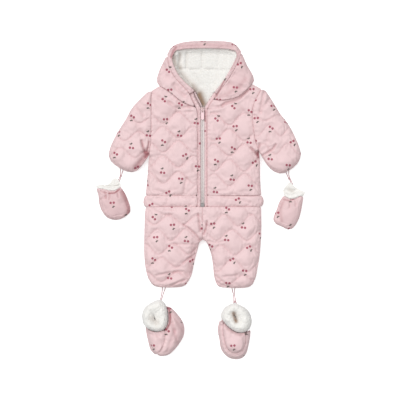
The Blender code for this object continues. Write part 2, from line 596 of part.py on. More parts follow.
def zip_front():
    """Rolled welts, tapes, slider, bottom stop and pull tab."""
    panel("zip_welt_right",
          edge(("welt_right_out_upper", WELT_ROLL), ("welt_right_out", WELT_ROLL),
               ([(-7.2, 10.4), (-7.2, -19)], WELT_ROLL)),
          edge(("welt_right_in_upper", WELT_ROLL), ("welt_right_in", WELT_ROLL)),
          straight((-27, 272), (-18, 278), WELT_ROLL), straight((-7.2, -19), (1.3, -19), WELT_ROLL),
          crown=WELT_CROWN, pitch=6.5)
    panel("zip_welt_left",
          edge(("welt_left_in_upper", WELT_ROLL), ("welt_left_in", WELT_ROLL)),
          edge(("welt_left_out_upper", WELT_ROLL), ("welt_left_out", WELT_ROLL),
               ([(19.2, 10.4), (19.2, -19)], WELT_ROLL)),
          straight((37, 278), (43, 272), WELT_ROLL), straight((11.7, -19), (19.2, -19), WELT_ROLL),
          crown=WELT_CROWN, pitch=6.5)
    panel("zip_tape_right", edge(("welt_right_in_upper", CUT), ("welt_right_in", CUT)),
          edge(("tape_right_in_upper", CUT), ("zip_centre", CUT)),
          straight((-18, 278), (-12.5, 280), CUT), straight((1.3, -19), (ZIP_X, -19), CUT),
          crown=TAPE_TOP, pitch=9.0, slot="zip_tape")
    panel("zip_tape_left", edge(("zip_centre", CUT)), edge(("welt_left_in", CUT)),
          straight((ZIP_X, 237), (11.7, 237), CUT), straight((ZIP_X, -19), (11.7, -19), CUT),
          crown=TAPE_TOP, pitch=12.0, slot="zip_tape")
    floor = BACK_THICK + LAYER_GAP + TAPE_TOP + LAYER_GAP
    slider_top = floor + SLIDER_SIZE[2]
    hinge_z = slider_top + TAB_CLEARANCE + TAB_SIZE[2] / 2
    slider(floor, slider_top, hinge_z)
    pull_tab(hinge_z)
    block("zip_bottom_stop", (ZIP_X - STOP_SIZE[0] / 2, -18.5, floor),
          (ZIP_X + STOP_SIZE[0] / 2, -18.5 + STOP_SIZE[1], floor + STOP_SIZE[2]), "zip_metal", 0.6)


def slider(floor, top, hinge_z):
    """A low body that narrows towards the hem, with an arched bridge along it in one outline."""
    wide, long_side, _ = SLIDER_SIZE
    gap_top = hinge_z + TAB_SIZE[2] / 2 + TAB_CLEARANCE
    bar_top = gap_top + BRIDGE_BAR
    reach = BRIDGE_HALF_LENGTH
    front, shoulder = 0.5 * long_side, 0.5 * long_side - 2
    plan = [(-0.5 * wide, shoulder), (-0.3 * wide, front), (0.3 * wide, front), (0.5 * wide, shoulder),
            (0.38 * wide, -front), (-0.38 * wide, -front)]
    count = len(plan)
    points = [(ZIP_X + x, SLIDER_Y + y, z) for z in (floor, top) for x, y in plan]
    faces = [tuple(range(count)), tuple(reversed(range(count, 2 * count)))]
    faces += [(k, count + k, count + (k + 1) % count, (k + 1) % count) for k in range(count)]
    body = add_object("zip_slider", points, faces, "zip_metal")
    post = reach + BRIDGE_POST
    arch = [(SLIDER_Y + y, z) for y, z in (
        (-post, top - 1), (-post, bar_top - 0.7), (-post + 0.8, bar_top), (post - 0.8, bar_top),
        (post, bar_top - 0.7), (post, top - 1), (reach, top - 1), (reach, gap_top), (-reach, gap_top),
        (-reach, top - 1))]
    half_bridge = BRIDGE_WIDTH / 2
    bridge = extruded("slider_bridge_shape", arch, ZIP_X - half_bridge, ZIP_X + half_bridge, "zip_metal")
    fix_normals(bridge)
    fix_normals(body)
    join = body.modifiers.new("bridge", "BOOLEAN")
    join.operation = "UNION"
    join.solver = "EXACT"
    join.object = bridge
    bridge.hide_render = True
    bridge.display_type = "WIRE"


def fix_normals(thing):
    """Turns a convex or simple closed mesh so that its faces point out."""
    mesh = thing.data
    volume = 0.0
    mesh.calc_loop_triangles()
    for triangle in mesh.loop_triangles:
        a, b, c = (mesh.vertices[i].co for i in triangle.vertices)
        volume += a.dot(b.cross(c))
    if volume < 0:
        mesh.flip_normals()


def pull_tab(hinge_z):
    """A flat tab whose eye goes round the slider's bridge; its object's origin is on the hinge."""
    wide, long_side, thick = TAB_SIZE
    half, arm_in = wide / 2, wide / 2 - TAB_ARM
    bar = thick / 2
    end_round = 3.0
    outline = [(-half, bar), (-half, -long_side + end_round), (-half + end_round, -long_side),
               (half - end_round, -long_side), (half, -long_side + end_round), (half, bar),
               (arm_in, bar), (-arm_in, bar)]
    hole = [(-arm_in, -bar), (-arm_in, -TAB_EYE_END), (arm_in, -TAB_EYE_END), (arm_in, -bar)]
    bottom = hinge_z - thick / 2
    points, faces = plate_with_hole(outline, hole, bottom, bottom + thick)
    placed = [(ZIP_X + x, SLIDER_Y + y, z) for x, y, z in points]
    thing = add_object("pull_tab", placed, faces, "pull")
    fix_normals(thing)
    pivot = ((ZIP_X - CENTRE[0]) * MM, (SLIDER_Y - CENTRE[1]) * MM, hinge_z * MM)
    for vertex in thing.data.vertices:
        vertex.co.x -= pivot[0]
        vertex.co.y -= pivot[1]
        vertex.co.z -= pivot[2]
    thing.location = pivot
    return thing


def plate_with_hole(outline, hole, low, high):
    """A flat plate with one four-sided hole: eight outline corners joined to the hole's four."""
    count, inner = len(outline), len(hole)
    points = [(x, y, z) for z in (low, high) for x, y in outline + hole]
    layer = count + inner
    hole_top_left, hole_low_left, hole_low_right, hole_top_right = range(count, layer)
    flat = [(0, 1, hole_low_left, hole_top_left), (1, 2, 3, 4, hole_low_right, hole_low_left),
            (4, 5, hole_top_right, hole_low_right), (5, 6, hole_top_right),
            (6, 7, hole_top_left, hole_top_right),
            (7, 0, hole_top_left)]
    faces = [tuple(layer + i for i in face) for face in flat] + [face[::-1] for face in flat]
    for k in range(count):
        after = (k + 1) % count
        faces.append((k, layer + k, layer + after, after)[::-1])
    for k in range(inner):
        after = (k + 1) % inner
        faces.append((count + k, layer + count + k, layer + count + after, count + after))
    return points, faces


def sleeves():
    """Upper and under sleeve, each as wide as the flattened sleeve."""
    for hand in ("right", "left"):
        outer = edge((f"sleeve_{hand}_out", FREE))
        inner = edge((f"armhole_{hand}", SEAM))
        inner_flat = edge((f"armhole_{hand}", CUT))
        hem = edge((f"sleeve_{hand}_hem", HEM))
        panel(f"sleeve_{hand}_top", outer, inner, end=hem, crown=SLEEVE_CROWN,
              quilts=QUILTS[f"sleeve_{hand}"], folds=FOLDS[f"sleeve_{hand}"], pitch=FINE + 1.0)
        under_panel(f"sleeve_{hand}_under", outer, inner_flat, end=hem)


def trousers():
    """Front and back of each leg, sewn down the middle as far as the crotch."""
    for leg, corner, hem_curve in (("right", (-140, -19), "leg_right_hem"),
                                   ("left", (158, -19), "-leg_left_hem")):
        outer = edge((f"leg_{leg}_out", FREE))
        inner = edge(("centre_front", SEAM), (f"leg_{leg}_in", FREE))
        inner_flat = edge(("centre_front", CUT), (f"leg_{leg}_in", FREE))
        hem = edge((hem_curve, HEM))
        waist = straight(corner, (ZIP_X, -19), SEAM)
        waist_flat = straight(corner, (ZIP_X, -19), CUT)
        panel(f"leg_{leg}_front", outer, inner, waist, hem, crown=LEG_CROWN,
              quilts=QUILTS[f"leg_{leg}"], folds=FOLDS[f"leg_{leg}"], pitch=FINE)
        under_panel(f"leg_{leg}_back", outer, inner_flat, waist_flat, hem)


def hood():
    """Flat back of the hood, its two sides, the band round the face and the plush lining."""
    under_panel("hood_back", edge(("hood_out_right", FREE)), edge(("hood_out_left", FREE)),
                edge(("neck_back", CUT)), edge(("hood_top", FREE)))
    point = (5.0, 5.0)
    panel("hood_side_right", edge(("-neck_right", SEAM), ("hood_out_right", FREE), shorten=point),
          edge(("-welt_right_out_upper", SEAM), ("band_out_right", RIM), shorten=point),
          crown=HOOD_CROWN, folds=FOLDS["hood_side_right"], pitch=10.0)
    panel("hood_side_left", edge(("-welt_left_out_upper", SEAM), ("-band_out_left", RIM), shorten=point),
          edge(("-neck_left", SEAM), ("hood_out_left", FREE), shorten=point),
          crown=HOOD_CROWN, folds=FOLDS["hood_side_left"], pitch=10.0)
    inside = (0.66, 7.0)
    panel("hood_band", edge(("rim_right", inside), ("rim_top", inside), ("rim_left", inside)),
          edge(("band_out_right", (0.8, 7.0)), ("hood_top", (0.12, 18.0)), ("band_out_left", (0.8, 7.0))),
          edge(([(-12.5, 280), (-18, 278)], SEAM), ([(-18, 278), (-27, 272)], SEAM)),
          crown=BAND_CROWN, pitch=9.0)
    hood_lining()


def hood_lining():
    """Plush lining: a soft wall up to the band, and the flat back with its folds."""
    rim = np.vstack([curve("rim_right"), curve("rim_top"), curve("rim_left")])
    along = lengths(rim)
    taper = np.sin(math.pi * along / along[-1]).clip(0, 1) ** 0.8
    wall = LINING_END + (LINING_WALL - LINING_END) * taper
    inner = offset(rim, -wall)
    inner = inner[distance_from(inner, rim) > 0.97 * wall]
    step = np.diff(inner, axis=0)
    turn = (step[:-1, 0] * step[1:, 1] - step[:-1, 1] * step[1:, 0]) / (
        np.linalg.norm(step[:-1], axis=1) * np.linalg.norm(step[1:], axis=1))
    corners = inner[np.sort(np.argsort(turn)[:2]) + 1]
    inner = np.array([point for point in inner
                      if all(not 0 < np.linalg.norm(point - corner) < LINING_CORNER for corner in corners)])
    first, last = (np.argmin(np.linalg.norm(inner - corner, axis=1)) for corner in corners)
    inward = (0.22, LINING_WALL)
    panel("hood_lining_side", edge(("rim_right", CUT), ("rim_top", CUT), ("rim_left", CUT)),
          Edge((inner[:first + 1], inward), (inner[first:last + 1], inward), (inner[last:], inward)),
          crown=LINING_RISE, pitch=11.0, slot="plush")
    right = np.vstack([inner[:1], curve("tape_right_in_upper")[2:]])
    left = np.vstack([inner[-1:], curve("welt_left_in_upper")[2:]])
    panel("hood_lining_back", Edge((inner[first::-1], CUT), (right, CUT)),
          Edge((inner[last:], CUT), (left, CUT)), Edge((inner[first:last + 1], CUT)),
          straight((ZIP_X - 0.1, 240), (11.7, 237), CUT), crown=LINING_FLOOR,
          folds=FOLDS["hood_lining_back"], pitch=6.5, pitch_across=12.0, slot="plush")


def mittens():
    """Padded halves that lie on each other, and the two plush lips of the wrist with a gap between."""
    for hand, shape in MITTENS.items():
        left, right = edge((shape["left"], FREE)), edge((shape["right"], FREE))
        wrist, wrist_flat = kinked(shape["wrist"], (0.75, 8.0)), kinked(shape["wrist"], CUT)
        end = edge((shape["end"], FREE))
        under_panel(f"mitten_{hand}_under", left, right, wrist_flat, end, thick=MITTEN_BACK,
                    pitch_across=COARSE)
        panel(f"mitten_{hand}_top", left, right, wrist, end, crown=MITTEN_CROWN, base=MITTEN_BACK + LAYER_GAP,
              folds=shape["gathers"], pitch=10.0, pitch_across=8.0)
        mouth_top = MITTEN_BACK + LAYER_GAP + MITTEN_MOUTH
        for part, far, floor, thick, upwards in (("under", shape["lip_far"], MITTEN_BACK, MITTEN_BACK, False),
                                                 ("top", shape["lip_near"], mouth_top, LIP_THICK, True)):
            panel(f"mitten_{hand}_lip_{part}", straight(far[0], shape["wrist"][0], HEM),
                  straight(far[-1], shape["wrist"][-1], HEM), edge((far, HEM)), wrist_flat,
                  crown=thick, base=floor, upwards=upwards, pitch=7.0, slot="plush")


def closed_smooth(points, count):
    """Points evenly spaced round a smooth closed curve."""
    points = np.asarray(points, float)
    looped = smooth(np.vstack([points[-2:], points, points[:3]]))
    span = 12
    line = looped[2 * span:(len(points) + 2) * span + 1]
    return sample(line, np.arange(count) / count)


def plush_ring(name, outline, hollow, low, top):
    """A thick soft ring round an oval hollow, with a rounded and slightly gathered rim."""
    count = CUFF_POINTS
    outer = closed_smooth(outline, count)
    x, y, half_width, half_length, turn = hollow
    turn = math.radians(turn)
    toward = np.arctan2(outer[:, 1] - y, outer[:, 0] - x) - turn
    oval = np.column_stack([half_width * np.cos(toward), half_length * np.sin(toward)])
    inner = np.column_stack([x + oval[:, 0] * math.cos(turn) - oval[:, 1] * math.sin(turn),
                             y + oval[:, 0] * math.sin(turn) + oval[:, 1] * math.cos(turn)])
    angle = 2 * math.pi * np.arange(count) / count
    gather = 1 + 0.035 * np.cos(CUFF_WAVES * angle)
    points = []
    for k in range(count):
        for share, height in CUFF_SECTION:
            lift = height * gather[k] if height > 0.5 else height
            points.append((*(outer[k] + share * (inner[k] - outer[k])), low + (top - low) * lift))
    rows = len(CUFF_SECTION)
    faces = []
    for k in range(count):
        here, there = k * rows, (k + 1) % count * rows
        faces += [(here + j, here + (j + 1) % rows, there + (j + 1) % rows, there + j) for j in range(rows)]
    thing = add_object(name, points, faces, "plush")
    fix_normals(thing)
    return thing


def booties():
    """Sole, vamp, side and cuff of each bootie."""
    point = (3.0, 3.0)
    base = BOOTIE_SOLE + LAYER_GAP
    for foot, shape in BOOTIES.items():
        sole_outline = closed_smooth(shape["sole"], 26)
        prism(f"bootie_{foot}_sole", sole_outline, 0.0, BOOTIE_SOLE, "shell")
        panel(f"bootie_{foot}_vamp", edge((shape["vamp_left"], FREE if shape["side_heel"] else SEAM)),
              edge((shape["vamp_right"], SEAM)),
              edge((shape["vamp_start"], (0.85, 8.0))), edge((shape["vamp_end"], SEAM)),
              crown=BOOTIE_VAMP_CROWN, base=base, pitch=9.0)
        seam = [(shape["vamp_left"], CUT), (shape["vamp_end"], CUT), (shape["vamp_right"][::-1], CUT)]
        if shape["side_heel"]:
            seam = [(shape["side_heel"], SIDE_SEAM), (shape["vamp_right"], SIDE_SEAM),
                    (shape["vamp_end"][::-1], SIDE_SEAM)]
        outside = edge((shape["side_out"], FREE), shorten=point)
        panel(f"bootie_{foot}_side", edge(*seam, shorten=point), outside,
              crown=shape["side_crown"], base=base, pitch=9.0)
        plush_ring(f"bootie_{foot}_cuff", shape["cuff"], shape["hollow"], base, CUFF_TOP)


def prism(name, outline, low, high, slot):
    """A flat piece with straight walls."""
    count = len(outline)
    points = [(x, y, z) for z in (low, high) for x, y in outline]
    faces = [tuple(range(count)), tuple(reversed(range(count, 2 * count)))]
    faces += [(k, count + k, count + (k + 1) % count, (k + 1) % count) for k in range(count)]
    thing = add_object(name, points, faces, slot)
    fix_normals(thing)
    return thing


def loops():
    """Each loop is one cord along its route, with closed ends."""
    for name, route in LOOPS.items():
        line = smooth(route, per_span=8)
        length = lengths(line)[-1]
        count = round(length / (LOOP_STEP * LOOP_DIAMETER)) + 1
        points = sample(line, np.linspace(0, 1, count))
        path = bpy.data.curves.new(name, "CURVE")
        path.dimensions = "3D"
        path.bevel_depth = LOOP_DIAMETER / 2 * MM
        path.bevel_resolution = 2
        path.use_fill_caps = True
        spline = path.splines.new("POLY")
        spline.points.add(count - 1)
        for place, (x, y) in zip(spline.points, points):
            place.co = ((x - CENTRE[0]) * MM, (y - CENTRE[1]) * MM, LOOP_Z * MM, 1.0)
        path.materials.append(material("cord"))
        thing = bpy.data.objects.new(name, path)
        bpy.context.collection.objects.link(thing)
        thing.parent = bpy.data.objects["snowsuit"]


def build():
    clear_scene()
    holder = bpy.data.objects.new("snowsuit", None)
    bpy.context.collection.objects.link(holder)
    jacket_body()
    zip_front()
    sleeves()
    trousers()
    hood()
    mittens()
    booties()
    loops()


build()
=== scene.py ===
"""Padded baby snowsuit laid flat, with its mittens and booties on cord loops: its cloth and finishes.

Written as an add-on whose operators each dress one group of pieces. The pattern tables are in
millimetres on the plane that the suit lies on, as in the part's own source; everything that is
made is in metres. Right and left are the baby's own.
"""

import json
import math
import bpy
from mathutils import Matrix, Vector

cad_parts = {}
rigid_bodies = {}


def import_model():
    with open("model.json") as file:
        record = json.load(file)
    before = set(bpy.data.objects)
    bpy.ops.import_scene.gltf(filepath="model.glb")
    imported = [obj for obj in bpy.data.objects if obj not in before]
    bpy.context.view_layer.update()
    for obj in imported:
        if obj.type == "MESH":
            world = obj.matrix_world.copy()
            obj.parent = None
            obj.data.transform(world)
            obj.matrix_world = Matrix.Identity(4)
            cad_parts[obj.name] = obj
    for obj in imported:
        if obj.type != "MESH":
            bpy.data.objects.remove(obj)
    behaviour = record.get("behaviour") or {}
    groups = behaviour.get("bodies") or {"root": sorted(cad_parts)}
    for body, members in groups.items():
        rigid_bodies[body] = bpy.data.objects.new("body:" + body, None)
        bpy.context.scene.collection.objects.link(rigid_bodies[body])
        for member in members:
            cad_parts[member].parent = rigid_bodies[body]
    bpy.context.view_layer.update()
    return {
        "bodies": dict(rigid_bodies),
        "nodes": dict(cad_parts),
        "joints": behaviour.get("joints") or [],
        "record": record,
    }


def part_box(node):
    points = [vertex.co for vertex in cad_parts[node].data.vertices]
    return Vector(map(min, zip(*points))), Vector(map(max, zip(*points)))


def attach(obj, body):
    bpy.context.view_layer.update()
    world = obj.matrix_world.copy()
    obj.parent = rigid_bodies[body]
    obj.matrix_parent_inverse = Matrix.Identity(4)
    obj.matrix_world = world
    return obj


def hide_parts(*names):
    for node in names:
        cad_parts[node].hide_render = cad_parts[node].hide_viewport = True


bl_info = {
    "name": "Baby snowsuit",
    "version": (1, 0, 0),
    "blender": (4, 5, 0),
    "location": "View3D > Sidebar > Snowsuit",
    "description": "Builds the quilted cloth, plush, zip and cords of a baby snowsuit",
    "category": "Add Mesh",
}

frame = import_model()

import bmesh
import bpy
import numpy as np
from bpy.props import FloatProperty, FloatVectorProperty, IntProperty, PointerProperty
from mathutils import Vector, noise
from mathutils.bvhtree import BVHTree

MM = 0.001
CENTRE = (1.0, -1.9)  # the origin in the pattern tables' millimetres
BODY = "suit"
PICTURE_CENTRE = (-0.001, 0.0006)  # the point of the floor under the camera
FLOOR_GAP = 0.0006  # between the suit's underside and the floor, in metres
SUN_SPREAD = 60.0  # how soft the studio's lights are, in degrees

# Quilting: each row is one stitched wave that runs across a piece.
# (middle_y, crest_x, half_height, wavelength)
QUILTS = {
    "front_right": [
        (211, -56, 15, 79), (174, -17, 15, 79), (137, -56, 15, 79), (98, -17, 15, 79), (57, -56, 15, 79),
    ],
    "front_left": [
        (208, 36, 15.5, 79), (167, 75, 15.5, 79), (128, 36, 15.5, 79), (88, 75, 15.5, 79),
        (51, 36, 15.5, 79),
    ],
    "leg_right_front": [
        (-53, -81, 12, 74), (-92, -38, 15, 72), (-128, -68, 14, 76), (-163, -100, 13, 78),
        (-200, -60, 13, 80),
    ],
    "leg_left_front": [
        (-54, 62, 15, 72), (-92, 82, 14, 78), (-131, 126, 13, 72), (-170, 84, 16, 80), (-208, 112, 12, 78),
    ],
    "sleeve_right_top": [(207, -196, 9, 78), (164, -232, 12, 74), (121, -206, 13, 76)],
    "sleeve_left_top": [(212, 205, 8, 76), (178, 178, 14, 60), (131, 226, 14, 62)],
}
QUILT_SHARES = {  # how much of the quilting's depth is left where the cloth is slack
    "front_right": 0.78, "front_left": 0.78, "leg_left_front": 0.92, "sleeve_right_top": 0.7,
    "sleeve_left_top": 0.6,
}
WAVE_SHARPNESS = 0.62  # 0 is a sine, 1 a zigzag
QUILT_RISE = 5.5  # the cloth rises beside a row of stitches over about this far
QUILT_FADE = 14.0  # the quilting is shallower this near to a seam
QUILT_PUFF = 0.0016  # how far the cloth between the rows is blown up, in metres
STITCH_GROOVE = 0.0008  # the groove that the stitches themselves lie in, in metres
STITCH_MARGIN = 3.5  # the stitches end this far from a seam
SHORTEST_STRETCH = 6  # a stretch of this many points, 1 mm apart, or fewer isn't sewn

# The cloth's small forms beside its seams, and how much painted shade darkens its colour there, from 0 to 1.
SEAM_LAP = 0.35  # how far two panels' walls run into each other where they are sewn
FREE_SHARE = 0.3  # a rim no higher than this share of its panel's height is a free edge
SEAM_REACH = 24.0  # how far in from a seam its height is felt
# Painted shade along the seams and the stitch grooves: how dark it is, and how far it reaches.
SEAM_PAINTED_SHADE, SEAM_PAINTED_SHADE_REACH = 0.13, 1.6
STITCH_PAINTED_SHADE, STITCH_PAINTED_SHADE_REACH = 0.21, 1.8
PLAIN_PUFF = 0.0008  # how far a piece with no quilting is blown up, in metres
PLEAT_PITCH, PLEAT_REACH = 10.5, 7.0  # the gathers along a seam, and how far they run from it
SWAY_SIZE, SWAY_HEIGHT = 34.0, 0.0005  # the padding's unevenness: waves in millimetres, height in metres
CREASE_SIZE = 30.0  # the limp cloth's small folds

# Folds: troughs (or, with a negative depth, ridges) along lines, and how much painted shade darkens their
# colour: in folds and creases, in armpits and on sides turned from the light.
# (depth, half_width, tone of the painted shade, (x, y), (x, y), ...)
FOLDS = {
    "front_right": [
        (2.5, 5, 0.1, (-122, 277), (-106, 266)), (2.2, 4, 0.09, (-112, 264), (-94, 256), (-70, 248)),
        (3.2, 4, 0.17, (-81, 251), (-66, 238), (-44, 237), (-24, 243)),
        (1.6, 3, 0.09, (-52, 251), (-24, 250)), (1.8, 3, 0.12, (-62, 228), (-23, 227)),
        (1.6, 3, 0.12, (-42, 16), (-39, 36), (-34, 56)), (1.6, 3, 0.12, (-30, 19), (-13, 36)),
        (1.4, 4, 0.06, (-120, 24), (-96, 21), (-60, 26)),
    ],
    "front_left": [
        (2.0, 3, 0.12, (20, 240), (50, 242)), (2.0, 3, 0.12, (20, 232), (58, 240)),
        (1.4, 3, 0.06, (20, 223), (52, 225)),
        (5.0, 3.5, 0.27, (57, 243), (68, 250), (81, 253), (94, 258), (104, 264), (122, 282)),
        (2.2, 4, 0.09, (104, 241), (113, 230)), (3.5, 2.6, 0.5, (132, 134), (142, 124), (149, 116)),
        (1.4, 3, 0.09, (24, 27), (44, 22), (76, 26)), (1.2, 3.5, 0.95, (149, 122), (151, 109)),
    ],
    "hem_band_right": [
        (1.4, 3, 0.07, (-118, 6), (-84, -2)), (1.4, 3, 0.09, (-44, 8), (-16, 4)),
    ],
    "hem_band_left": [
        (1.6, 3, 0.1, (60, 8), (100, 1), (130, -8)), (1.4, 3, 0.09, (20, 6), (46, 0)),
    ],
    "sleeve_right_top": [
        (4.5, 2.8, 0.6, (-151, 152), (-148, 138), (-143, 124)),
        (3.0, 2.4, 0.7, (-132, 150), (-134, 136), (-138, 124)), (2.5, 3.5, 0.15, (-164, 236), (-146, 216)),
        (4.0, 8, 0.6, (-137, 120), (-150, 102), (-166, 84)),
        (1.5, 5, 0.6, (-143, 121), (-135, 118), (-140, 110)), (2.0, 5, 0.1, (-160, 190), (-152, 170)),
    ],
    "sleeve_left_top": [
        (3.5, 4, 0.14, (166, 277), (160, 250), (157, 226)), (2.5, 4, 0.1, (180, 262), (165, 238)),
        (3.0, 3, 0.4, (154, 144), (150, 124)),
        (3.5, 2.6, 0.35, (160, 113), (172, 120), (188, 130), (196, 142)),
        (2.0, 5, 0.08, (178, 176), (175, 152)), (1.5, 3, 0.12, (242, 101), (246, 90)),
        (1.5, 3, 0.15, (251, 106), (254, 97)), (1.5, 3, 0.1, (226, 139), (222, 126)),
    ],
    "leg_right_front": [
        (2.0, 3, 0.1, (-127, -20), (-117, -28), (-94, -40), (-74, -40)),
        (1.8, 3, 0.09, (-91, -26), (-70, -27)),
        (3.5, 2.8, 0.36, (-42, -66), (-26, -77), (-10, -92), (-1, -104)),
        (3.2, 2.4, 0.4, (-5, -38), (-2, -58), (2, -82)), (2.0, 3, 0.12, (-68, -116), (-20, -116)),
        (2.5, 3, 0.12, (-44, -164), (-26, -150), (-12, -141)),
        (2.6, 3, 0.15, (-112, -196), (-78, -190), (-57, -186), (-42, -187), (-31, -199)),
        (3.2, 3, 0.24, (-73, -222), (-57, -214), (-39, -208)),
        (2.0, 8, 0.2, (-14, -118), (-24, -160), (-28, -190)),
        (0.0, 36, 0.05, (-66, -206), (-34, -160)),
    ],
    "leg_left_front": [
        (3.4, 2.4, 0.45, (18, -56), (16, -74), (9, -90)), (2.0, 3, 0.09, (50, -20), (60, -30)),
        (2.0, 3, 0.09, (117, -22), (125, -36), (134, -40)),
        (2.2, 3, 0.12, (20, -108), (39, -112), (62, -108)),
        (2.2, 3, 0.12, (42, -212), (57, -222), (78, -226)), (1.8, 3, 0.09, (134, -206), (146, -218)),
        (2.0, 3, 0.09, (60, -200), (96, -196)),
    ],
    "hood_side_right": [
        (2.0, 6, 0.09, (-92, 346), (-84, 318)), (2.5, 5, 0.1, (-66, 296), (-30, 262)),
        (2.0, 4, 0.09, (-62, 284), (-40, 268)),
    ],
    "hood_side_left": [
        (0.0, 45, 0.1, (110, 360), (90, 300)), (2.0, 6, 0.1, (103, 372), (99, 352)),
        (2.0, 6, 0.12, (78, 296), (104, 288)), (1.5, 2.6, 0.7, (65, 312), (52, 285), (43, 268)),
        (0.5, 7, 0.25, (40, 262), (70, 272), (100, 292), (118, 312)),
    ],
    "hood_band": [
        (0.0, 30, 0.1, (-60, 396), (20, 402), (90, 396)), (2.5, 6, 0.22, (-52, 396), (20, 400), (84, 396)),
        (3.0, 4.5, 0.7, (-62, 394), (-70, 382), (-74, 368)), (1.5, 5, 0.25, (102, 382), (80, 335)),
        (1.5, 2.6, 0.7, (65, 312), (52, 285), (43, 268)),
    ],
    "hood_lining": [
        (7.0, 6, 0.0, (-72, 382), (-66, 350)), (-3.0, 4, 0.0, (-58, 374), (-62, 340)),
        (5.0, 4, 0.0, (-52, 378), (-54, 338)), (4.0, 4, 0.0, (-34, 380), (-35, 342)),
        (3.0, 4, 0.0, (5, 382), (6, 344)), (2.0, 5, 0.0, (50, 382), (48, 346)),
        (2.0, 3.5, 0.0, (-60, 338), (90, 336)), (2.4, 5, 0.0, (-22, 334), (4, 296)),
        (2.0, 5, 0.0, (24, 334), (30, 300)), (3.0, 6, 0.0, (-48, 322), (-14, 282)),
        (7.0, 9, 0.0, (-54, 388), (94, 388)),
    ],
    "mitten_right_top": [
        (0.0, 60, 0.17, (-226, 0), (-222, -30)), (1.6, 2, 0.3, (-258, 22), (-250, 19), (-242, 17)),
        (1.8, 2.2, 0.85, (-236, 16), (-221, 17), (-209, 26)),
        (2.2, 2.5, 0.25, (-247, 19), (-243, 12), (-244, 3)), (2.0, 2.5, 0.25, (-234, 14), (-235, 1)),
        (2.0, 2.5, 0.25, (-214, 20), (-211, 6)),
        (1.4, 3, 0.15, (-260, 0), (-246, 6)), (1.0, 8, 0.6, (-200, 20), (-188, -10), (-184, -34)),
        (0.8, 5, 0.2, (-184, -34), (-196, -42)),
    ],
    "mitten_left_top": [
        (0.0, 60, 0.1, (236, -10), (244, -40)), (1.8, 2.4, 0.5, (216, 0), (231, -3), (247, 3), (258, 10)),
        (2.0, 2.5, 0.15, (232, -6), (233, -20)), (1.6, 2.5, 0.15, (246, 0), (248, -16)),
        (1.4, 4, 0.15, (266, -14), (262, -34)), (0.5, 5, 0.3, (214, -8), (207, -30), (212, -56)),
    ],
    "mitten_right_lip": [(2.4, 3, 0.0, (-252, 37), (-238, 33), (-224, 31), (-212, 36))],
    "mitten_left_lip": [(3.0, 4.5, 0.0, (224, 25), (238, 21), (256, 27))],
    "bootie_right_side": [
        (2.6, 4, 0.2, (-81, -285), (-57, -376)), (2.2, 4, 0.16, (-73, -293), (-44, -342)),
        (1.8, 4, 0.14, (-65, -339), (-86, -394)),
        (1.0, 3, 0.9, (-80, -277), (-77, -300), (-78, -320), (-86, -335)),
        (0.0, 30, 0.12, (-66, -330), (-60, -350)),
    ],
    "bootie_right_vamp": [
        (1.5, 4, 0.09, (-136, -346), (-106, -352)), (1.5, 4, 0.09, (-112, -352), (-96, -372)),
    ],
    "bootie_left_vamp": [
        (1.6, 4, 0.12, (66, -322), (84, -342)), (1.4, 4, 0.1, (98, -350), (126, -344)),
    ],
    # Painted shade along the welts' edges beside the zip; on the left welt, also the pull tab's painted
    # shadow.
    "zip_welt_right": [
        (0.0, 1.6, 0.35, (-3, 236), (-3, -8)),
    ],
    "zip_welt_left": [
        (0.0, 1.6, 0.3, (16, 236), (16, -8)), (0.0, 1.8, 0.9, (12.5, 230), (13.5, 202)),
    ],
}

# Painted shade in the plush's hollows, where it darkens the pile to brown.
# (strength, half_width, (x, y), (x, y), ...)
PAINTED_HOLLOW_SHADES = {
    "hood_lining": [
        (0.45, 7, (-70, 376), (-65, 350), (-52, 341)), (0.35, 3.5, (-52, 378), (-57, 342)),
        (0.12, 3, (-34, 380), (-35, 342)), (0.06, 3, (5, 382), (6, 344)), (0.06, 3, (-60, 338), (90, 336)),
        (0.4, 9, (-58, 335), (-26, 294)), (0.55, 11, (-20, 292), (-6, 274)),
        (0.95, 11, (-2, 272), (7, 248)), (0.06, 4, (-22, 334), (4, 296)),
    ],
    "mitten_right_lip": [(0.1, 3, (-252, 37), (-238, 33), (-224, 31), (-212, 36))],
    "mitten_left_lip": [(0.25, 6, (232, 26), (240, 22))],
    "bootie_right_cuff": [(0.3, 9, (-124, -308), (-112, -318))],
    "bootie_left_cuff": [(1.0, 5.5, (87, -294), (93, -314))],
}
TUFT_SCALE, HAIR_SCALE = 210.0, 620.0  # tufts and smaller locks in a metre of plush
PINCH_DEPTH = 0.016  # how far below its rim a cuff has fallen together, in metres
PINCHES = {  # where a cuff's plush falls together: (x, y, half_width, half_length, turn)
    "bootie_right_cuff": (-117, -308, 9, 14, 20), "bootie_left_cuff": (91, -303, 6, 14, 22),
}

# The printed cloth: pairs of cherries in a half-drop repeat, with the turns and shifts within it.
PRINT_PITCH = (87.0, 64.0)  # across two columns, and down one column
PRINT_UNIT = 10.0  # size that one unit of the print's own coordinates stands for
PRINT_TURNS = (200, 150, 20, 222, 165, -28, 143, 190, 8)
PRINT_SHIFTS = ((0, 0), (9, -5), (-7, 7), (3, 9), (-9, -3), (2, -9), (7, 4), (-4, -8), (-5, 6))
PRINT_STARTS = {  # a place on each piece where the repeat starts
    "front_right": (-88, 204), "front_left": (92, 186), "leg_right": (-70, -69), "leg_left": (34, -66),
    "sleeve_right": (-212, 172), "sleeve_left": (190, 239), "hood": (10, 408), "mitten_right": (-226, -12),
    "mitten_left": (200, -38), "bootie_right": (-122, -381), "bootie_left": (86, -381),
}

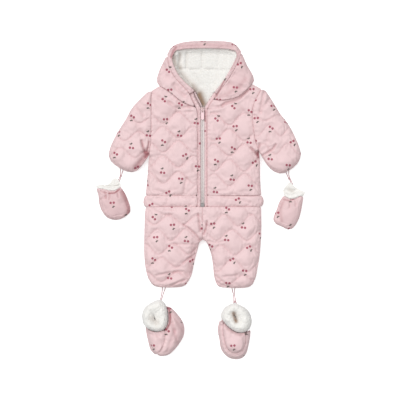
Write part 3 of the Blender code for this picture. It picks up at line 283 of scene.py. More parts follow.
# One cherry pair, in the print's own coordinates.
CHERRIES = ((-0.40, -0.26, 0.34), (0.38, -0.48, 0.33))  # (centre_x, centre_y, radius)
GLEAMS = ((-0.48, -0.16, 0.06), (0.30, -0.38, 0.06))
STEMS = ((-0.36, 0.04, -0.08, 0.60, 0.045), (0.34, -0.18, -0.04, 0.60, 0.045))  # (x1, y1, x2, y2, half_width)
LEAVES = ((0.02, 0.66, 0.22, 0.78, 0.21), (-0.10, 0.64, -0.26, 0.70, 0.14))
PRINT_CRISPNESS = 22.0  # how sharp a motif's edge is
WEAVE_PITCH = 0.0007  # of the shell cloth, in metres
HERRINGBONE_PITCH = 0.0009  # of the zip tape, in metres

# Zip: the line of its coil, closed and open, and what shows of each tape, in metres.
CLOSED_COIL = [(6.5, -9.0), (6.5, 225.0)]
OPEN_COIL = [(-17, 277), (-9.5, 262), (-3, 250), (2.5, 239)]
TOOTH_PITCH = 1.7
TOOTH_SHIFT = 0.75  # how far each tooth stands to its own side
TAPES = {"right": ((0.012, 0.306), 0.00178), "left": ((0.010, 0.256), 0.00143)}  # ((width, length), area)

# Cord loops: from the mitten or bootie, round the end under the hem, and back.
LOOP_DIAMETER = 2.0
LOOP_Z = 1.3
LOOP_STEP = 2.1  # spacing of the points that a cord is declared by
LOOP_SIDES = 12
LOOP_TWIST = 0.55  # how far the cord's three strands turn from one ring of its mesh to the next, in radians
STRAND_DEPTH = 0.04  # of the radius, how deep the furrows between the strands are to each side of its mean
LOOPS = {
    "mitten_right": [
        (-217, 35.5), (-213.6, 46.5), (-210, 56), (-207.6, 61), (-206.6, 66.5), (-206.7, 72),
        (-207.4, 78), (-207.8, 83.9), (-206.6, 86.9), (-203.6, 88.1), (-200.6, 86.9), (-199.4, 83.9),
        (-200.1, 78), (-201.4, 72), (-202.9, 66.5), (-204.2, 61.5), (-206.5, 55.5), (-209.8, 46.5),
        (-213, 35),
    ],
    "mitten_left": [
        (240.8, 29.8), (238, 38), (235.7, 44.5), (233.6, 49.5), (231, 54.5), (228.6, 59), (226.4, 64),
        (224.4, 69), (222.8, 74.5), (222.1, 80.1), (223.3, 83.1), (226.3, 84.35), (229.3, 83.1),
        (230.5, 80.1), (230.9, 74.5), (230.8, 69), (231.2, 64), (232.3, 59), (234.3, 54.2),
        (236.7, 49.5), (238.9, 44.5), (241.4, 38.5), (244.4, 30.8),
    ],
    "bootie_right": [
        (-104.4, -269.4), (-103.5, -263.5), (-102.3, -257), (-100.8, -250), (-99.4, -243),
        (-98.4, -236), (-97.8, -230), (-97.4, -223.8), (-96.2, -220.8), (-93.2, -219.6),
        (-90.2, -220.8), (-89, -223.8), (-90.2, -230), (-92.7, -237), (-95.1, -244), (-97.2, -251),
        (-99, -257.5), (-100.3, -263.5), (-101.1, -268.4),
    ],
    "bootie_left": [
        (86.6, -274.6), (87.5, -268), (87.6, -261), (87.2, -254), (86.3, -247), (85, -240),
        (83.3, -232.5), (82.2, -226.15), (83.4, -223.2), (86.4, -221.95), (89.4, -223.2),
        (90.6, -226.15), (90.2, -232.5), (89.4, -240), (89.8, -247), (91, -254), (92.4, -261),
        (94, -268), (95.2, -275.8),
    ],
}
KNOTS = {  # where each loop is knotted, and how far the knot is turned
    "mitten_right": (-205.9, 61.5, 10), "mitten_left": (231.6, 54.5, -25), "bootie_right": (-101.4, -264, 12),
    "bootie_left": (90.6, -266, -8),
}


def place(x, y, z):
    """A point of the pattern, in millimetres, as a point of the scene."""
    return ((x - CENTRE[0]) * MM, (y - CENTRE[1]) * MM, z * MM)


# Properties ---------------------------------------------------------------------------------------


def colour(name, default):
    return FloatVectorProperty(name=name, description=f"{name} of the suit", subtype="COLOR", size=3,
                               min=0.0, max=1.0, default=default)


class SnowsuitColours(bpy.types.PropertyGroup):
    """Colours of the cloth, plush, zip and cords."""

    shell: colour("Shell cloth", (0.745, 0.555, 0.565))
    cherry: colour("Cherries", (0.34, 0.08, 0.115))
    leaf: colour("Leaves", (0.125, 0.10, 0.09))
    stem: colour("Stems", (0.36, 0.21, 0.20))
    plush: colour("Plush", (0.87, 0.865, 0.845))
    tape: colour("Zip tape", (0.74, 0.68, 0.67))
    metal: colour("Slider", (0.50, 0.37, 0.36))
    # Painted shade: the open coil is the same coil as the closed one, darkened where it lies in the open V.
    coil: colour("Open zip coil", (0.20, 0.11, 0.11))
    stop: colour("Bottom stop", (0.26, 0.25, 0.25))
    pull: colour("Pull tab", (0.84, 0.60, 0.63))
    cord: colour("Cord", (0.60, 0.36, 0.38))
    thread: colour("Sewing thread", (0.78, 0.50, 0.52))


class SnowsuitCloth(bpy.types.PropertyGroup):
    """Sizes of the padding, quilting and pile."""

    grain: FloatProperty(name="Mesh grain", description="Spacing of a padded piece's points before it is "
                         "subdivided", default=0.0038, min=0.002, max=0.02, unit="LENGTH")
    pressure: FloatProperty(name="Filling", description="Pressure of the filling inside a padded piece",
                            default=4.0, min=0.0, max=20.0)
    swell: FloatProperty(name="Swelling", description="The furthest that the filling may push a point",
                         default=0.005, min=0.0, max=0.02, unit="LENGTH")
    quilt_depth: FloatProperty(name="Quilting depth", description="How deep the stitching draws the cloth in",
                               default=0.0042, min=0.0, max=0.012, unit="LENGTH")
    pucker: FloatProperty(name="Puckers", description="Height of the small gathers beside the stitching",
                          default=0.0009, min=0.0, max=0.003, unit="LENGTH")
    crease: FloatProperty(name="Creases", description="Height of the limp cloth's small folds",
                          default=0.0008, min=0.0, max=0.003, unit="LENGTH")
    stitch: FloatProperty(name="Stitch", description="Length of one stitch and the space after it",
                          default=0.0034, min=0.002, max=0.01, unit="LENGTH")
    pile: FloatProperty(name="Pile", description="Height of the plush's tufts", default=0.0022, min=0.0,
                        max=0.006, unit="LENGTH")
    frames: IntProperty(name="Filling steps", description="Frames that the filling takes to settle",
                        default=20, min=2, max=60)


class SnowsuitStage(bpy.types.PropertyGroup):
    """Floor, lights and camera."""

    width: FloatProperty(name="Picture width", description="Width of floor that the camera sees",
                         default=1.04, min=0.2, max=3.0, unit="LENGTH")
    height: FloatProperty(name="Camera height", description="Height of the camera over the floor",
                          default=6.0, min=1.0, max=20.0, unit="LENGTH")
    floor: colour("Floor", (0.96, 0.96, 0.96))
    key: FloatProperty(name="Key light", description="Strength of the soft light from the suit's right",
                       default=2.1, min=0.0)
    sky: FloatProperty(name="Fill light", description="Strength of the even light from all round",
                       default=0.42, min=0.0)
    glow: FloatProperty(name="Table glow", description="Light that comes through the white table",
                        default=0.50, min=0.0)


# Shader maths -------------------------------------------------------------------------------------


class Wire:
    """What comes out of a node's socket, so that shader maths reads as an expression."""

    def __init__(self, finish, socket):
        self.finish = finish
        self.socket = socket

    def __add__(self, other):
        return self.finish.maths("ADD", self, other)

    __radd__ = __add__

    def __sub__(self, other):
        return self.finish.maths("SUBTRACT", self, other)

    def __rsub__(self, other):
        return self.finish.maths("SUBTRACT", other, self)

    def __mul__(self, other):
        return self.finish.maths("MULTIPLY", self, other)

    __rmul__ = __mul__

    def __pow__(self, other):
        return self.finish.maths("POWER", self, other)


class Finish:
    """A material of nodes, built from wires."""

    def __init__(self, name):
        self.material = bpy.data.materials.new(name)
        self.material.use_nodes = True
        self.tree = self.material.node_tree
        self.tree.nodes.clear()

    def add(self, kind, settings=None, inputs=None):
        """A node with its settings, then the values or wires of its sockets."""
        node = self.tree.nodes.new(kind)
        for key, value in (settings or {}).items():
            setattr(node, key, value)
        for key, value in (inputs or {}).items():
            if isinstance(value, Wire):
                self.tree.links.new(value.socket, node.inputs[key])
            else:
                node.inputs[key].default_value = value
        return node

    def wire(self, node, output=0):
        return Wire(self, node.outputs[output])

    def maths(self, operation, *values, clamp=False):
        return self.wire(self.add("ShaderNodeMath", {"operation": operation, "use_clamp": clamp},
                                  dict(enumerate(values))))

    def mix(self, share, first, second):
        """From the first colour to the second, by a share from 0 to 1."""
        first, second = (value if isinstance(value, Wire) else (*value, 1.0) for value in (first, second))
        return self.wire(self.add("ShaderNodeMix", {"data_type": "RGBA"}, {0: share, 6: first, 7: second}), 2)

    def place(self):
        return self.wire(self.add("ShaderNodeTexCoord"), "Object")

    def noise(self, where, scale, detail=2.0, roughness=0.5):
        return self.wire(self.add("ShaderNodeTexNoise", {"noise_dimensions": "3D"}, {
            "Vector": where, "Scale": scale, "Detail": detail, "Roughness": roughness}))

    def cells(self, where, scale):
        return self.wire(self.add("ShaderNodeTexVoronoi", {"feature": "F1"}, {
            "Vector": where, "Scale": scale}), "Distance")

    def ribs(self, where, pitch, direction):
        """Even ribs square to an axis, one for each pitch in metres."""
        return self.wire(self.add("ShaderNodeTexWave", {
            "wave_type": "BANDS", "bands_direction": direction, "wave_profile": "SIN"}, {
                "Vector": where, "Scale": math.pi / (10 * pitch)}), "Fac")

    def attribute(self, name):
        return self.wire(self.add("ShaderNodeAttribute", {"attribute_name": name}), "Fac")

    def surface(self, colour, roughness, height=None, bump=0.0, relief=0.001, **constants):
        """Ends the material in its shader, with a bump for the relief that is finer than the mesh."""
        inputs = {"Base Color": colour, "Roughness": roughness}
        if height is not None:
            inputs["Normal"] = self.wire(self.add("ShaderNodeBump", {}, {
                "Strength": bump, "Distance": relief, "Height": height}))
        for key, value in constants.items():
            inputs[key.replace("_", " ").title().replace("Ior", "IOR")] = value
        shader = self.add("ShaderNodeBsdfPrincipled", {}, inputs)
        end = self.add("ShaderNodeOutputMaterial")
        self.tree.links.new(shader.outputs[0], end.inputs[0])
        return self.material


# Materials ----------------------------------------------------------------------------------------


def disc(finish, x, y, centre_x, centre_y, radius):
    """1 inside a disc of the print and 0 outside it."""
    across, up = x - centre_x, y - centre_y
    reach = (across * across + up * up) ** 0.5
    return finish.maths("MULTIPLY", radius - reach, PRINT_CRISPNESS, clamp=True)


def stroke(finish, x, y, x1, y1, x2, y2, half_width):
    """1 on a thin line of the print and 0 beside it."""
    run_x, run_y = x2 - x1, y2 - y1
    size = run_x * run_x + run_y * run_y
    share = finish.maths("MULTIPLY", (x - x1) * run_x + (y - y1) * run_y, 1 / size, clamp=True)
    across, up = x - x1 - share * run_x, y - y1 - share * run_y
    reach = (across * across + up * up) ** 0.5
    return finish.maths("MULTIPLY", half_width - reach, PRINT_CRISPNESS, clamp=True)


def motif(finish, shape, x, y, table):
    """1 inside either of a motif's two discs or strokes and 0 outside both."""
    return finish.maths("MAXIMUM", *(shape(finish, x, y, *row) for row in table))


def shell_material(colours, name):
    """Printed, faintly lustrous shell cloth: a fine plain weave with cherry pairs."""
    finish = Finish(name)
    where = finish.place()
    print_map = finish.wire(finish.add("ShaderNodeUVMap", {"uv_map": "print"}))
    parts = finish.add("ShaderNodeSeparateXYZ", {}, {0: print_map})
    x, y = finish.wire(parts, 0), finish.wire(parts, 1)
    fruit = motif(finish, disc, x, y, CHERRIES)
    gleam = motif(finish, disc, x, y, GLEAMS)
    stems = motif(finish, stroke, x, y, STEMS)
    leaf = motif(finish, stroke, x, y, LEAVES)
    drift = finish.noise(where, 9.0, detail=3.0)
    # The sewn attribute marks painted shade in seams, stitch grooves and folds; deep is the painted shade's
    # darkest colour.
    sewn = finish.attribute("sewn")
    dyed = tuple(colours.shell)
    deep = tuple(channel * share for channel, share in zip(dyed, (0.50, 0.27, 0.29)))
    cloth = finish.mix(finish.maths("MULTIPLY", drift - 0.38, 0.5, clamp=True), dyed,
                       tuple(channel * 0.955 for channel in dyed))
    # Painted shade, mixed in where the sewn attribute marks it.
    cloth = finish.mix(sewn, cloth, deep)
    cloth = finish.mix(stems * 0.75, cloth, tuple(colours.stem))
    cloth = finish.mix(leaf, cloth, tuple(colours.leaf))
    cloth = finish.mix(fruit, cloth, tuple(colours.cherry))
    cloth = finish.mix(gleam * 0.5, cloth, tuple(colours.shell))
    weave = finish.ribs(where, WEAVE_PITCH, "X") * finish.ribs(where, WEAVE_PITCH, "Y")
    crumple = finish.noise(where, 260.0, detail=3.0)
    return finish.surface(cloth, 0.56 + 0.12 * drift, weave * 0.2 + crumple * 0.8, bump=0.22, relief=0.0006,
                          sheen_weight=0.25, sheen_roughness=0.4, specular_ior_level=0.35)


def plush_material(colours, name, tone):
    """Short dense pile in soft tufts, with painted shade between them and painted brown shade deep in a
    hollow.
    """
    finish = Finish(name)
    where = finish.place()
    tuft = finish.cells(where, 300.0)
    hair = finish.noise(where, 1400.0, detail=3.0, roughness=0.65)
    # Painted shade: darker between the tufts, and brown where the hollow attribute marks a hollow.
    hollow = finish.attribute("hollow")
    pale = tuple(channel * tone for channel in colours.plush)
    painted_hollow_shade = tuple(channel * share for channel, share in zip(pale, (0.27, 0.14, 0.065)))
    shade = tuple(channel * share for channel, share in zip(pale, (0.95, 0.93, 0.89)))
    pile = finish.mix(finish.maths("MULTIPLY", tuft, 0.9, clamp=True), pale, shade)
    pile = finish.mix(hollow, pile, painted_hollow_shade)
    return finish.surface(pile, 0.95, hair * 0.6 + tuft * 0.5, bump=0.75, relief=0.0014,
                          sheen_weight=1.0, sheen_roughness=0.6, specular_ior_level=0.15)


def tape_material(colours, name):
    """Woven zip tape: a fine herringbone along its length."""
    finish = Finish(name)
    where = finish.place()
    ribs = finish.ribs(where, HERRINGBONE_PITCH, "DIAGONAL")
    drift = finish.noise(where, 120.0)
    tone = tuple(colours.tape)
    dark = tuple(channel * 0.86 for channel in tone)
    cloth = finish.mix(ribs * 0.35 + drift * 0.2, tone, dark)
    cloth = finish.mix(finish.attribute("facing") * 0.85, cloth, tuple(colours.shell))
    return finish.surface(cloth, 0.8, ribs, bump=0.4, relief=0.0003, sheen_weight=0.2)


def painted_material(tone, name, metallic, roughness):
    """Paint or moulded plastic on a small hard piece, a little worn."""
    finish = Finish(name)
    where = finish.place()
    wear = finish.noise(where, 700.0, detail=4.0)
    tone = tuple(tone)
    worn = tuple(min(1.0, channel * 1.12) for channel in tone)
    coat = finish.mix(finish.maths("MULTIPLY", wear - 0.45, 3.0, clamp=True), tone, worn)
    return finish.surface(coat, roughness + 0.12 * wear, wear, bump=0.15, relief=0.0002, metallic=metallic)


def thread_material(tone, name):
    """Twisted thread or braid, seen close."""
    finish = Finish(name)
    where = finish.place()
    strand = finish.noise(where, 2600.0)
    tone = tuple(tone)
    dark = tuple(channel * 0.8 for channel in tone)
    thread = finish.mix(strand, tone, dark)
    return finish.surface(thread, 0.7, strand, bump=0.5, relief=0.0002, sheen_weight=0.3)


def material(name):
    """A material of the suit by its name, made the first time that it is asked for."""
    if name in bpy.data.materials:
        return bpy.data.materials[name]
    colours = bpy.context.scene.snowsuit_colours
    makers = {
        "printed shell cloth": lambda: shell_material(colours, name),
        "white plush": lambda: plush_material(colours, name, tone=1.0),
        "lining plush": lambda: plush_material(colours, name, tone=0.95),
        "woven zip tape": lambda: tape_material(colours, name),
        "painted slider": lambda: painted_material(colours.metal, name, metallic=0.35, roughness=0.32),
        "pale pink pull": lambda: painted_material(colours.pull, name, metallic=0.0, roughness=0.28),
        "zip coil": lambda: painted_material(colours.tape, name, metallic=0.0, roughness=0.45),
        "shaded zip coil": lambda: painted_material(colours.coil, name, metallic=0.0, roughness=0.45),
        "dark stop": lambda: painted_material(colours.stop, name, metallic=0.35, roughness=0.4),
        "sewing thread": lambda: thread_material(colours.thread, name),
        "braided cord": lambda: thread_material(colours.cord, name),
    }
    return makers[name]()


# Mesh helpers -------------------------------------------------------------------------------------


def read(mesh, what="co"):
    found = np.empty(len(mesh.vertices) * 3, np.float32)
    mesh.vertices.foreach_get(what, found)
    return found.reshape(-1, 3).astype(float)


def write(mesh, points):
    mesh.vertices.foreach_set("co", np.asarray(points, np.float32).ravel())
    mesh.update()


def edges_of(mesh):
    found = np.empty(len(mesh.edges) * 2, np.int32)
    mesh.edges.foreach_get("vertices", found)
    return found.reshape(-1, 2)


def smoothed(values, edges, rounds, hold, step=0.6):
    """Values drawn towards their neighbours' mean, less so where hold is near 1."""
    size = len(values)
    count = np.bincount(edges.ravel(), minlength=size).clip(1)
    for _ in range(rounds):
        total = (np.bincount(edges[:, 0], values[edges[:, 1]], size)
                 + np.bincount(edges[:, 1], values[edges[:, 0]], size))
        values = values + (1 - hold) * step * (total / count - values)
    return values


def alone(thing):
    """Only this object is selected, and it is the active one."""
    bpy.ops.object.select_all(action="DESELECT")
    thing.select_set(True)
    bpy.context.view_layer.objects.active = thing


def drop(thing):
    mesh = thing.data
    bpy.data.objects.remove(thing)
    bpy.data.meshes.remove(mesh)


def new_object(name, points, faces):
    mesh = bpy.data.meshes.new(name)
    mesh.from_pydata([tuple(point) for point in points], [], [tuple(face) for face in faces])
    mesh.validate()
    thing = bpy.data.objects.new(name, mesh)
    bpy.context.collection.objects.link(thing)
    return thing


def apply(thing, name, kind, **settings):
    """Adds a modifier and applies it."""
    alone(thing)
    modifier = thing.modifiers.new(name, kind)
    for key, value in settings.items():
        setattr(modifier, key, value)
    bpy.ops.object.modifier_apply(modifier=modifier.name)


def finer(thing):
    apply(thing, "finer", "SUBSURF", levels=1, render_levels=1)


def plain_copy(node, name):
    """A copy of a CAD node's mesh with its loose triangles joined."""
    thing = bpy.data.objects.new(name, bpy.data.objects[node].data.copy())
    thing.data.materials.clear()
    bpy.context.collection.objects.link(thing)
    alone(thing)
    bpy.ops.object.mode_set(mode="EDIT")
    bpy.ops.mesh.select_all(action="SELECT")
    bpy.ops.mesh.remove_doubles(threshold=0.00001)
    bpy.ops.object.mode_set(mode="OBJECT")
    return thing


def outline(thing, level):
    """The closed outline of a panel's plain inner face, as plan points in millimetres."""
    form = bmesh.new()
    form.from_mesh(thing.data)
    flat = {face for face in form.faces if all(abs(corner.co.z - level) < 2e-5 for corner in face.verts)}
    rim = [side for side in form.edges if sum(face in flat for face in side.link_faces) == 1]
    beside = {}
    for side in rim:
        for one, other in (side.verts, reversed(side.verts)):
            beside.setdefault(one, []).append(other)
    loops = []
    while beside:
        start = next(iter(beside))
        loop, here = [start], start
        while True:
            onward = [corner for corner in beside.pop(here) if corner in beside]
            if not onward:
                break
            here = onward[0]
            loop.append(here)
        loops.append(np.array([corner.co[:2] for corner in loop]) / MM + CENTRE)
    form.free()
    return max(loops, key=len)


def rim_measure(plan, loop):
    """Distance of plan points from a closed outline, how far along it they are, and its nearest point."""
    run = np.roll(loop, -1, axis=0) - loop
    size = np.maximum(np.linalg.norm(run, axis=1), 1e-9)
    start = np.concatenate([[0.0], np.cumsum(size)[:-1]])
    reach = plan[:, None] - loop[None]
    share = np.clip(np.sum(reach * run, axis=2) / size**2, 0, 1)
    gap = np.linalg.norm(reach - share[..., None] * run, axis=2)
    nearest = np.argmin(gap, axis=1)
    rows = np.arange(len(plan))
    foot = loop[nearest] + share[rows, nearest, None] * run[nearest]
    return gap[rows, nearest], start[nearest] + share[rows, nearest] * size[nearest], foot


def seam_height(thing, loop, level):
    """How high a CAD panel stands at each point of its outline, as a share of its full height."""
    points = read(thing.data)
    plan, height = points[:, :2] / MM + CENTRE, np.abs(points[:, 2] - level)
    at_rim = [height[np.linalg.norm(plan - corner, axis=1) < 0.05].max() for corner in loop]
    return np.array(at_rim) / height.max()


def level_rim(share, gap, along, loop, heights, sewn_share):
    """Heights, as shares, with a panel's sewn rims brought to one height and its free edges left alone.

    A rim counts as free up to FREE_SHARE of the panel's height, and as sewn from twice that.
    """
    size = np.linalg.norm(np.roll(loop, -1, axis=0) - loop, axis=1)
    start = np.concatenate([[0.0], np.cumsum(size)])
    rim = np.clip(np.interp(along, start, np.append(heights, heights[0])), 0.05, 0.97)
    sewn = np.clip((rim - FREE_SHARE) / FREE_SHARE, 0, 1)
    target = rim + sewn * (sewn_share - rim)
    squeeze = 1 + ((1 - target) / (1 - rim) - 1) * np.exp(-(gap / SEAM_REACH) ** 2)
    return np.where(share < rim, share * target / rim, 1 - (1 - share) * squeeze)


def sway(x, y, size, seed):
    """A smooth uneven pattern between about -1 and 1, whose waves are about size long."""
    total = np.zeros_like(x)
    for turn, stretch in ((0.3, 1.0), (1.25, 0.83), (2.2, 1.21), (2.9, 0.69)):
        along = (x * math.cos(turn + seed) + y * math.sin(turn + seed)) * 2 * math.pi / (size * stretch)
        total += np.sin(along + 1.7 * seed + 2.1 * stretch + 0.8 * np.sin(0.37 * along + seed))
    return total / 2.6


def creases(x, y, size, seed):
    """The sharp little folds of limp cloth: ridges at about 0.5 over shallow dips."""
    warp = size / 5 * np.sin(y / size * 1.9 + seed)
    spots = [Vector((across, up * 1.35, seed)) / size for across, up in zip(x + warp, y + 0.5 * x)]
    return np.array([0.5 - 2.4 * abs(noise.noise(spot, noise_basis="BLENDER")) for spot in spots])


def wave(x, row):
    """How high a stitched wave lies on the plan at each x, and its slope there."""
    middle_y, crest_x, half_height, wavelength = row
    angle = 2 * math.pi * (x - crest_x) / wavelength
    scale = half_height / math.asin(WAVE_SHARPNESS)
    bend = WAVE_SHARPNESS * np.cos(angle)
    slope = -scale * WAVE_SHARPNESS * np.sin(angle) * 2 * math.pi / wavelength
    return middle_y + scale * np.arcsin(bend), slope / np.sqrt(1 - bend**2)


def nearest_wave(x, y, rows):
    """Signed distance from the nearest row of quilting, its slope, and how far along it a point is."""
    nearest, slope, along = np.full(len(x), 1e3), np.zeros(len(x)), np.zeros(len(x))
    for row in rows:
        _, crest_x, half_height, wavelength = row
        height, tilt = wave(x, row)
        offset = (y - height) / np.sqrt(1 + tilt**2)
        nearer = np.abs(offset) < np.abs(nearest)
        nearest = np.where(nearer, offset, nearest)
        slope = np.where(nearer, tilt, slope)
        along = np.where(nearer, (x - crest_x) * math.hypot(1, 4 * half_height / wavelength), along)
    return nearest, slope, along


def fade(gap, reach):
    """0 at a seam, a stitch or the table, and 1 from this far on."""
    return np.clip(gap / reach, 0, 1)


def line_distance(x, y, line):
    """Distance from the nearest stretch of a line of plan points."""
    nearest = np.full(len(x), 1e3)
    for (x1, y1), (x2, y2) in zip(line, line[1:]):
        run_x, run_y = x2 - x1, y2 - y1
        share = np.clip(((x - x1) * run_x + (y - y1) * run_y) / (run_x**2 + run_y**2), 0, 1)
        nearest = np.minimum(nearest, np.hypot(x - x1 - share * run_x, y - y1 - share * run_y))
    return nearest


def smooth_line(points, per_span=8):
    """A dense smooth curve through plan points."""
    points = np.asarray(points, float)
    padded = np.vstack([2 * points[0] - points[1], points, 2 * points[-1] - points[-2]])
    found = []
    for a, b, c, d in zip(padded, padded[1:], padded[2:], padded[3:]):
        for t in np.arange(per_span) / per_span:
            found.append(0.5 * (2 * b + (c - a) * t + (2 * a - 5 * b + 4 * c - d) * t**2
                                + (3 * b - a - 3 * c + d) * t**3))
    return np.vstack([found, points[-1]])


def lengths(line):
    return np.concatenate([[0.0], np.cumsum(np.linalg.norm(np.diff(line, axis=0), axis=1))])


def sample(line, shares):
    along = lengths(line)
    return np.column_stack([np.interp(np.asarray(shares) * along[-1], along, line[:, k])
                            for k in range(line.shape[1])])


# Print and attributes -----------------------------------------------------------------------------


def print_map(thing, start):
    """Lays the print on a piece: each face reads the repeat's nearest cherry pair, turned in its place."""
    mesh = thing.data
    points, outward = read(mesh) / MM, read(mesh, "normal")
    plan = points[:, :2] + CENTRE
    down_the_side = np.clip(np.percentile(points[:, 2], 90) - points[:, 2] - 9.0, 0, None)
    plan = plan + outward[:, :2] * down_the_side[:, None]
    pitch_x, pitch_y = PRINT_PITCH[0] / 2, PRINT_PITCH[1]
    first = (plan.min(axis=0) - start) // (pitch_x, pitch_y) - 1
    last = (plan.max(axis=0) - start) // (pitch_x, pitch_y) + 1
    motifs = []
    for column in range(int(first[0]), int(last[0]) + 1):
        for row in range(int(first[1]), int(last[1]) + 1):
            turn = PRINT_TURNS[(4 * column + 5 * row) % len(PRINT_TURNS)]
            shift = PRINT_SHIFTS[(2 * column + 7 * row) % len(PRINT_SHIFTS)]
            motifs.append((start[0] + column * pitch_x + shift[0],
                           start[1] + (row + 0.5 * (column % 2)) * pitch_y + shift[1], math.radians(turn)))
    motifs = np.array(motifs)
    corners = np.empty(len(mesh.loops), np.int32)
    mesh.loops.foreach_get("vertex_index", corners)
    totals = np.empty(len(mesh.polygons), np.int32)
    mesh.polygons.foreach_get("loop_total", totals)
    face_of = np.repeat(np.arange(len(totals)), totals)
    middle = np.column_stack([np.bincount(face_of, plan[corners, k]) / totals for k in range(2)])
    nearest = np.argmin(np.linalg.norm(middle[:, None] - motifs[None, :, :2], axis=2), axis=1)
    chosen = motifs[nearest[face_of]]
    x, y = (plan[corners] - chosen[:, :2]).T / PRINT_UNIT
    turned = np.column_stack([x * np.cos(chosen[:, 2]) + y * np.sin(chosen[:, 2]),
                              y * np.cos(chosen[:, 2]) - x * np.sin(chosen[:, 2])])
    layer = mesh.uv_layers.new(name="print")
    layer.data.foreach_set("uv", turned.astype(np.float32).ravel())


def mark(thing, name, values):
    """Keeps a number for each point, which the piece's material reads."""
    layer = thing.data.attributes.new(name, "FLOAT", "POINT")
    layer.data.foreach_set("value", np.clip(values, 0, 1).astype(np.float32))


def dress(thing, finish, slot, *nodes):
    """Gives a finished piece its material and its body, and hides the CAD nodes that it stands for."""
    thing.data.materials.clear()
    thing.data.materials.append(material(finish))
    alone(thing)
    bpy.ops.object.shade_smooth()
    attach(thing, BODY)
    if nodes:
        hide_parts(*nodes)


# Padded cloth -------------------------------------------------------------------------------------


def plan_of(points):
    return points[:, 0] / MM + CENTRE[0], points[:, 1] / MM + CENTRE[1]


class Panel:
    """A padded CAD panel: its outline and level, and the quilting and folds that are worked into it."""

    def __init__(self, node, thing, upwards):
        low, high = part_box(node)
        self.upwards = upwards
        self.sign = 1.0 if upwards else -1.0
        self.lowest = low[2]
        self.level = low[2] if upwards else high[2]
        self.crown = high[2] - low[2]
        self.loop = outline(thing, self.level)
        self.heights = seam_height(thing, self.loop, self.level)
        self.rows = QUILTS.get(node, ())
        self.folds = FOLDS.get(node, ())
        self.drawn = QUILT_SHARES.get(node, 1.0)
        self.seed = sum(map(ord, node)) % 17


def rough_out(thing, panel, grain, sewn_height, settings):
    """Evens a remeshed panel, sets its rim on its seams and draws the quilting in; returns what is held."""
    points, outward, edges = read(thing.data), read(thing.data, "normal"), edges_of(thing.data)
    outside = outward[:, 2] * panel.sign > 0.25
    x, y = plan_of(points)
    gap, along, foot = rim_measure(np.column_stack([x, y]), panel.loop)
    if panel.upwards:
        hold = np.where(outside, np.exp(-(gap / 5.0) ** 2), 1.0)
        points[:, 2] = smoothed(points[:, 2], edges, 24, hold)
        share = np.clip((points[:, 2] - panel.level) / panel.crown, 0.0, 1.0)
        sewn_share = min(sewn_height / panel.crown, 0.88)
        share = level_rim(share, gap, along, panel.loop, panel.heights, sewn_share)
        points[:, 2] = panel.level + panel.crown * share
    spacing = grain / MM
    wall = gap < 0.5 * spacing
    points[wall, :2] = (foot[wall] - CENTRE) * MM
    held = ~outside | (gap < 2.5)
    if panel.rows:
        offset, slope, _ = nearest_wave(x, y, panel.rows)
        on_row = outside & (np.abs(offset) < 0.55 * spacing) & (gap > 4.0)
        length = np.sqrt(1 + slope**2)
        points[on_row, 0] += (slope / length * offset)[on_row] * MM
        points[on_row, 1] -= (offset / length)[on_row] * MM
        x, y = plan_of(points)
        offset, _, _ = nearest_wave(x, y, panel.rows)
        dent = settings.quilt_depth * panel.drawn * np.exp(-np.abs(offset) / QUILT_RISE)
        points[:, 2] += np.where(outside, fade(gap, QUILT_FADE) * (QUILT_PUFF - dent), 0.0)
        held = held | on_row
    elif panel.upwards:
        points[:, 2] += np.where(outside, PLAIN_PUFF * fade(gap, 10.0), 0.0)
    write(thing.data, points)
    return held


def fill_out(thing, sewn, settings, swelling):
    """Blows up the padding between the stitching by a cloth simulation, and caps how far it may go."""
    before = read(thing.data)
    group = thing.vertex_groups.new(name="sewn")
    group.add([int(i) for i in np.flatnonzero(sewn)], 1.0, "REPLACE")
    scene = bpy.context.scene
    scene.frame_set(1)
    modifier = thing.modifiers.new("filling", "CLOTH")
    cloth = modifier.settings
    cloth.quality = 4
    cloth.mass = 0.15
    cloth.tension_stiffness = cloth.compression_stiffness = 12
    cloth.shear_stiffness = 4
    cloth.bending_stiffness = 0.15
    cloth.use_pressure = True
    cloth.uniform_pressure_force = settings.pressure
    cloth.shrink_min = -0.05
    cloth.vertex_group_mass = group.name
    cloth.effector_weights.gravity = 0.0
    modifier.point_cache.frame_start = 1
    modifier.point_cache.frame_end = settings.frames
    for frame in range(1, settings.frames + 1):
        scene.frame_set(frame)
    alone(thing)
    bpy.ops.object.modifier_apply(modifier=modifier.name)
    scene.frame_set(1)
    thing.vertex_groups.clear()
    moved = read(thing.data) - before
    far = np.linalg.norm(moved, axis=1)
    cap = settings.swell * swelling
    room = cap * np.tanh(far / cap) / np.maximum(far, 1e-9)
    moved *= room[:, None]
    moved[:, :2] *= 0.4
    write(thing.data, before + moved)


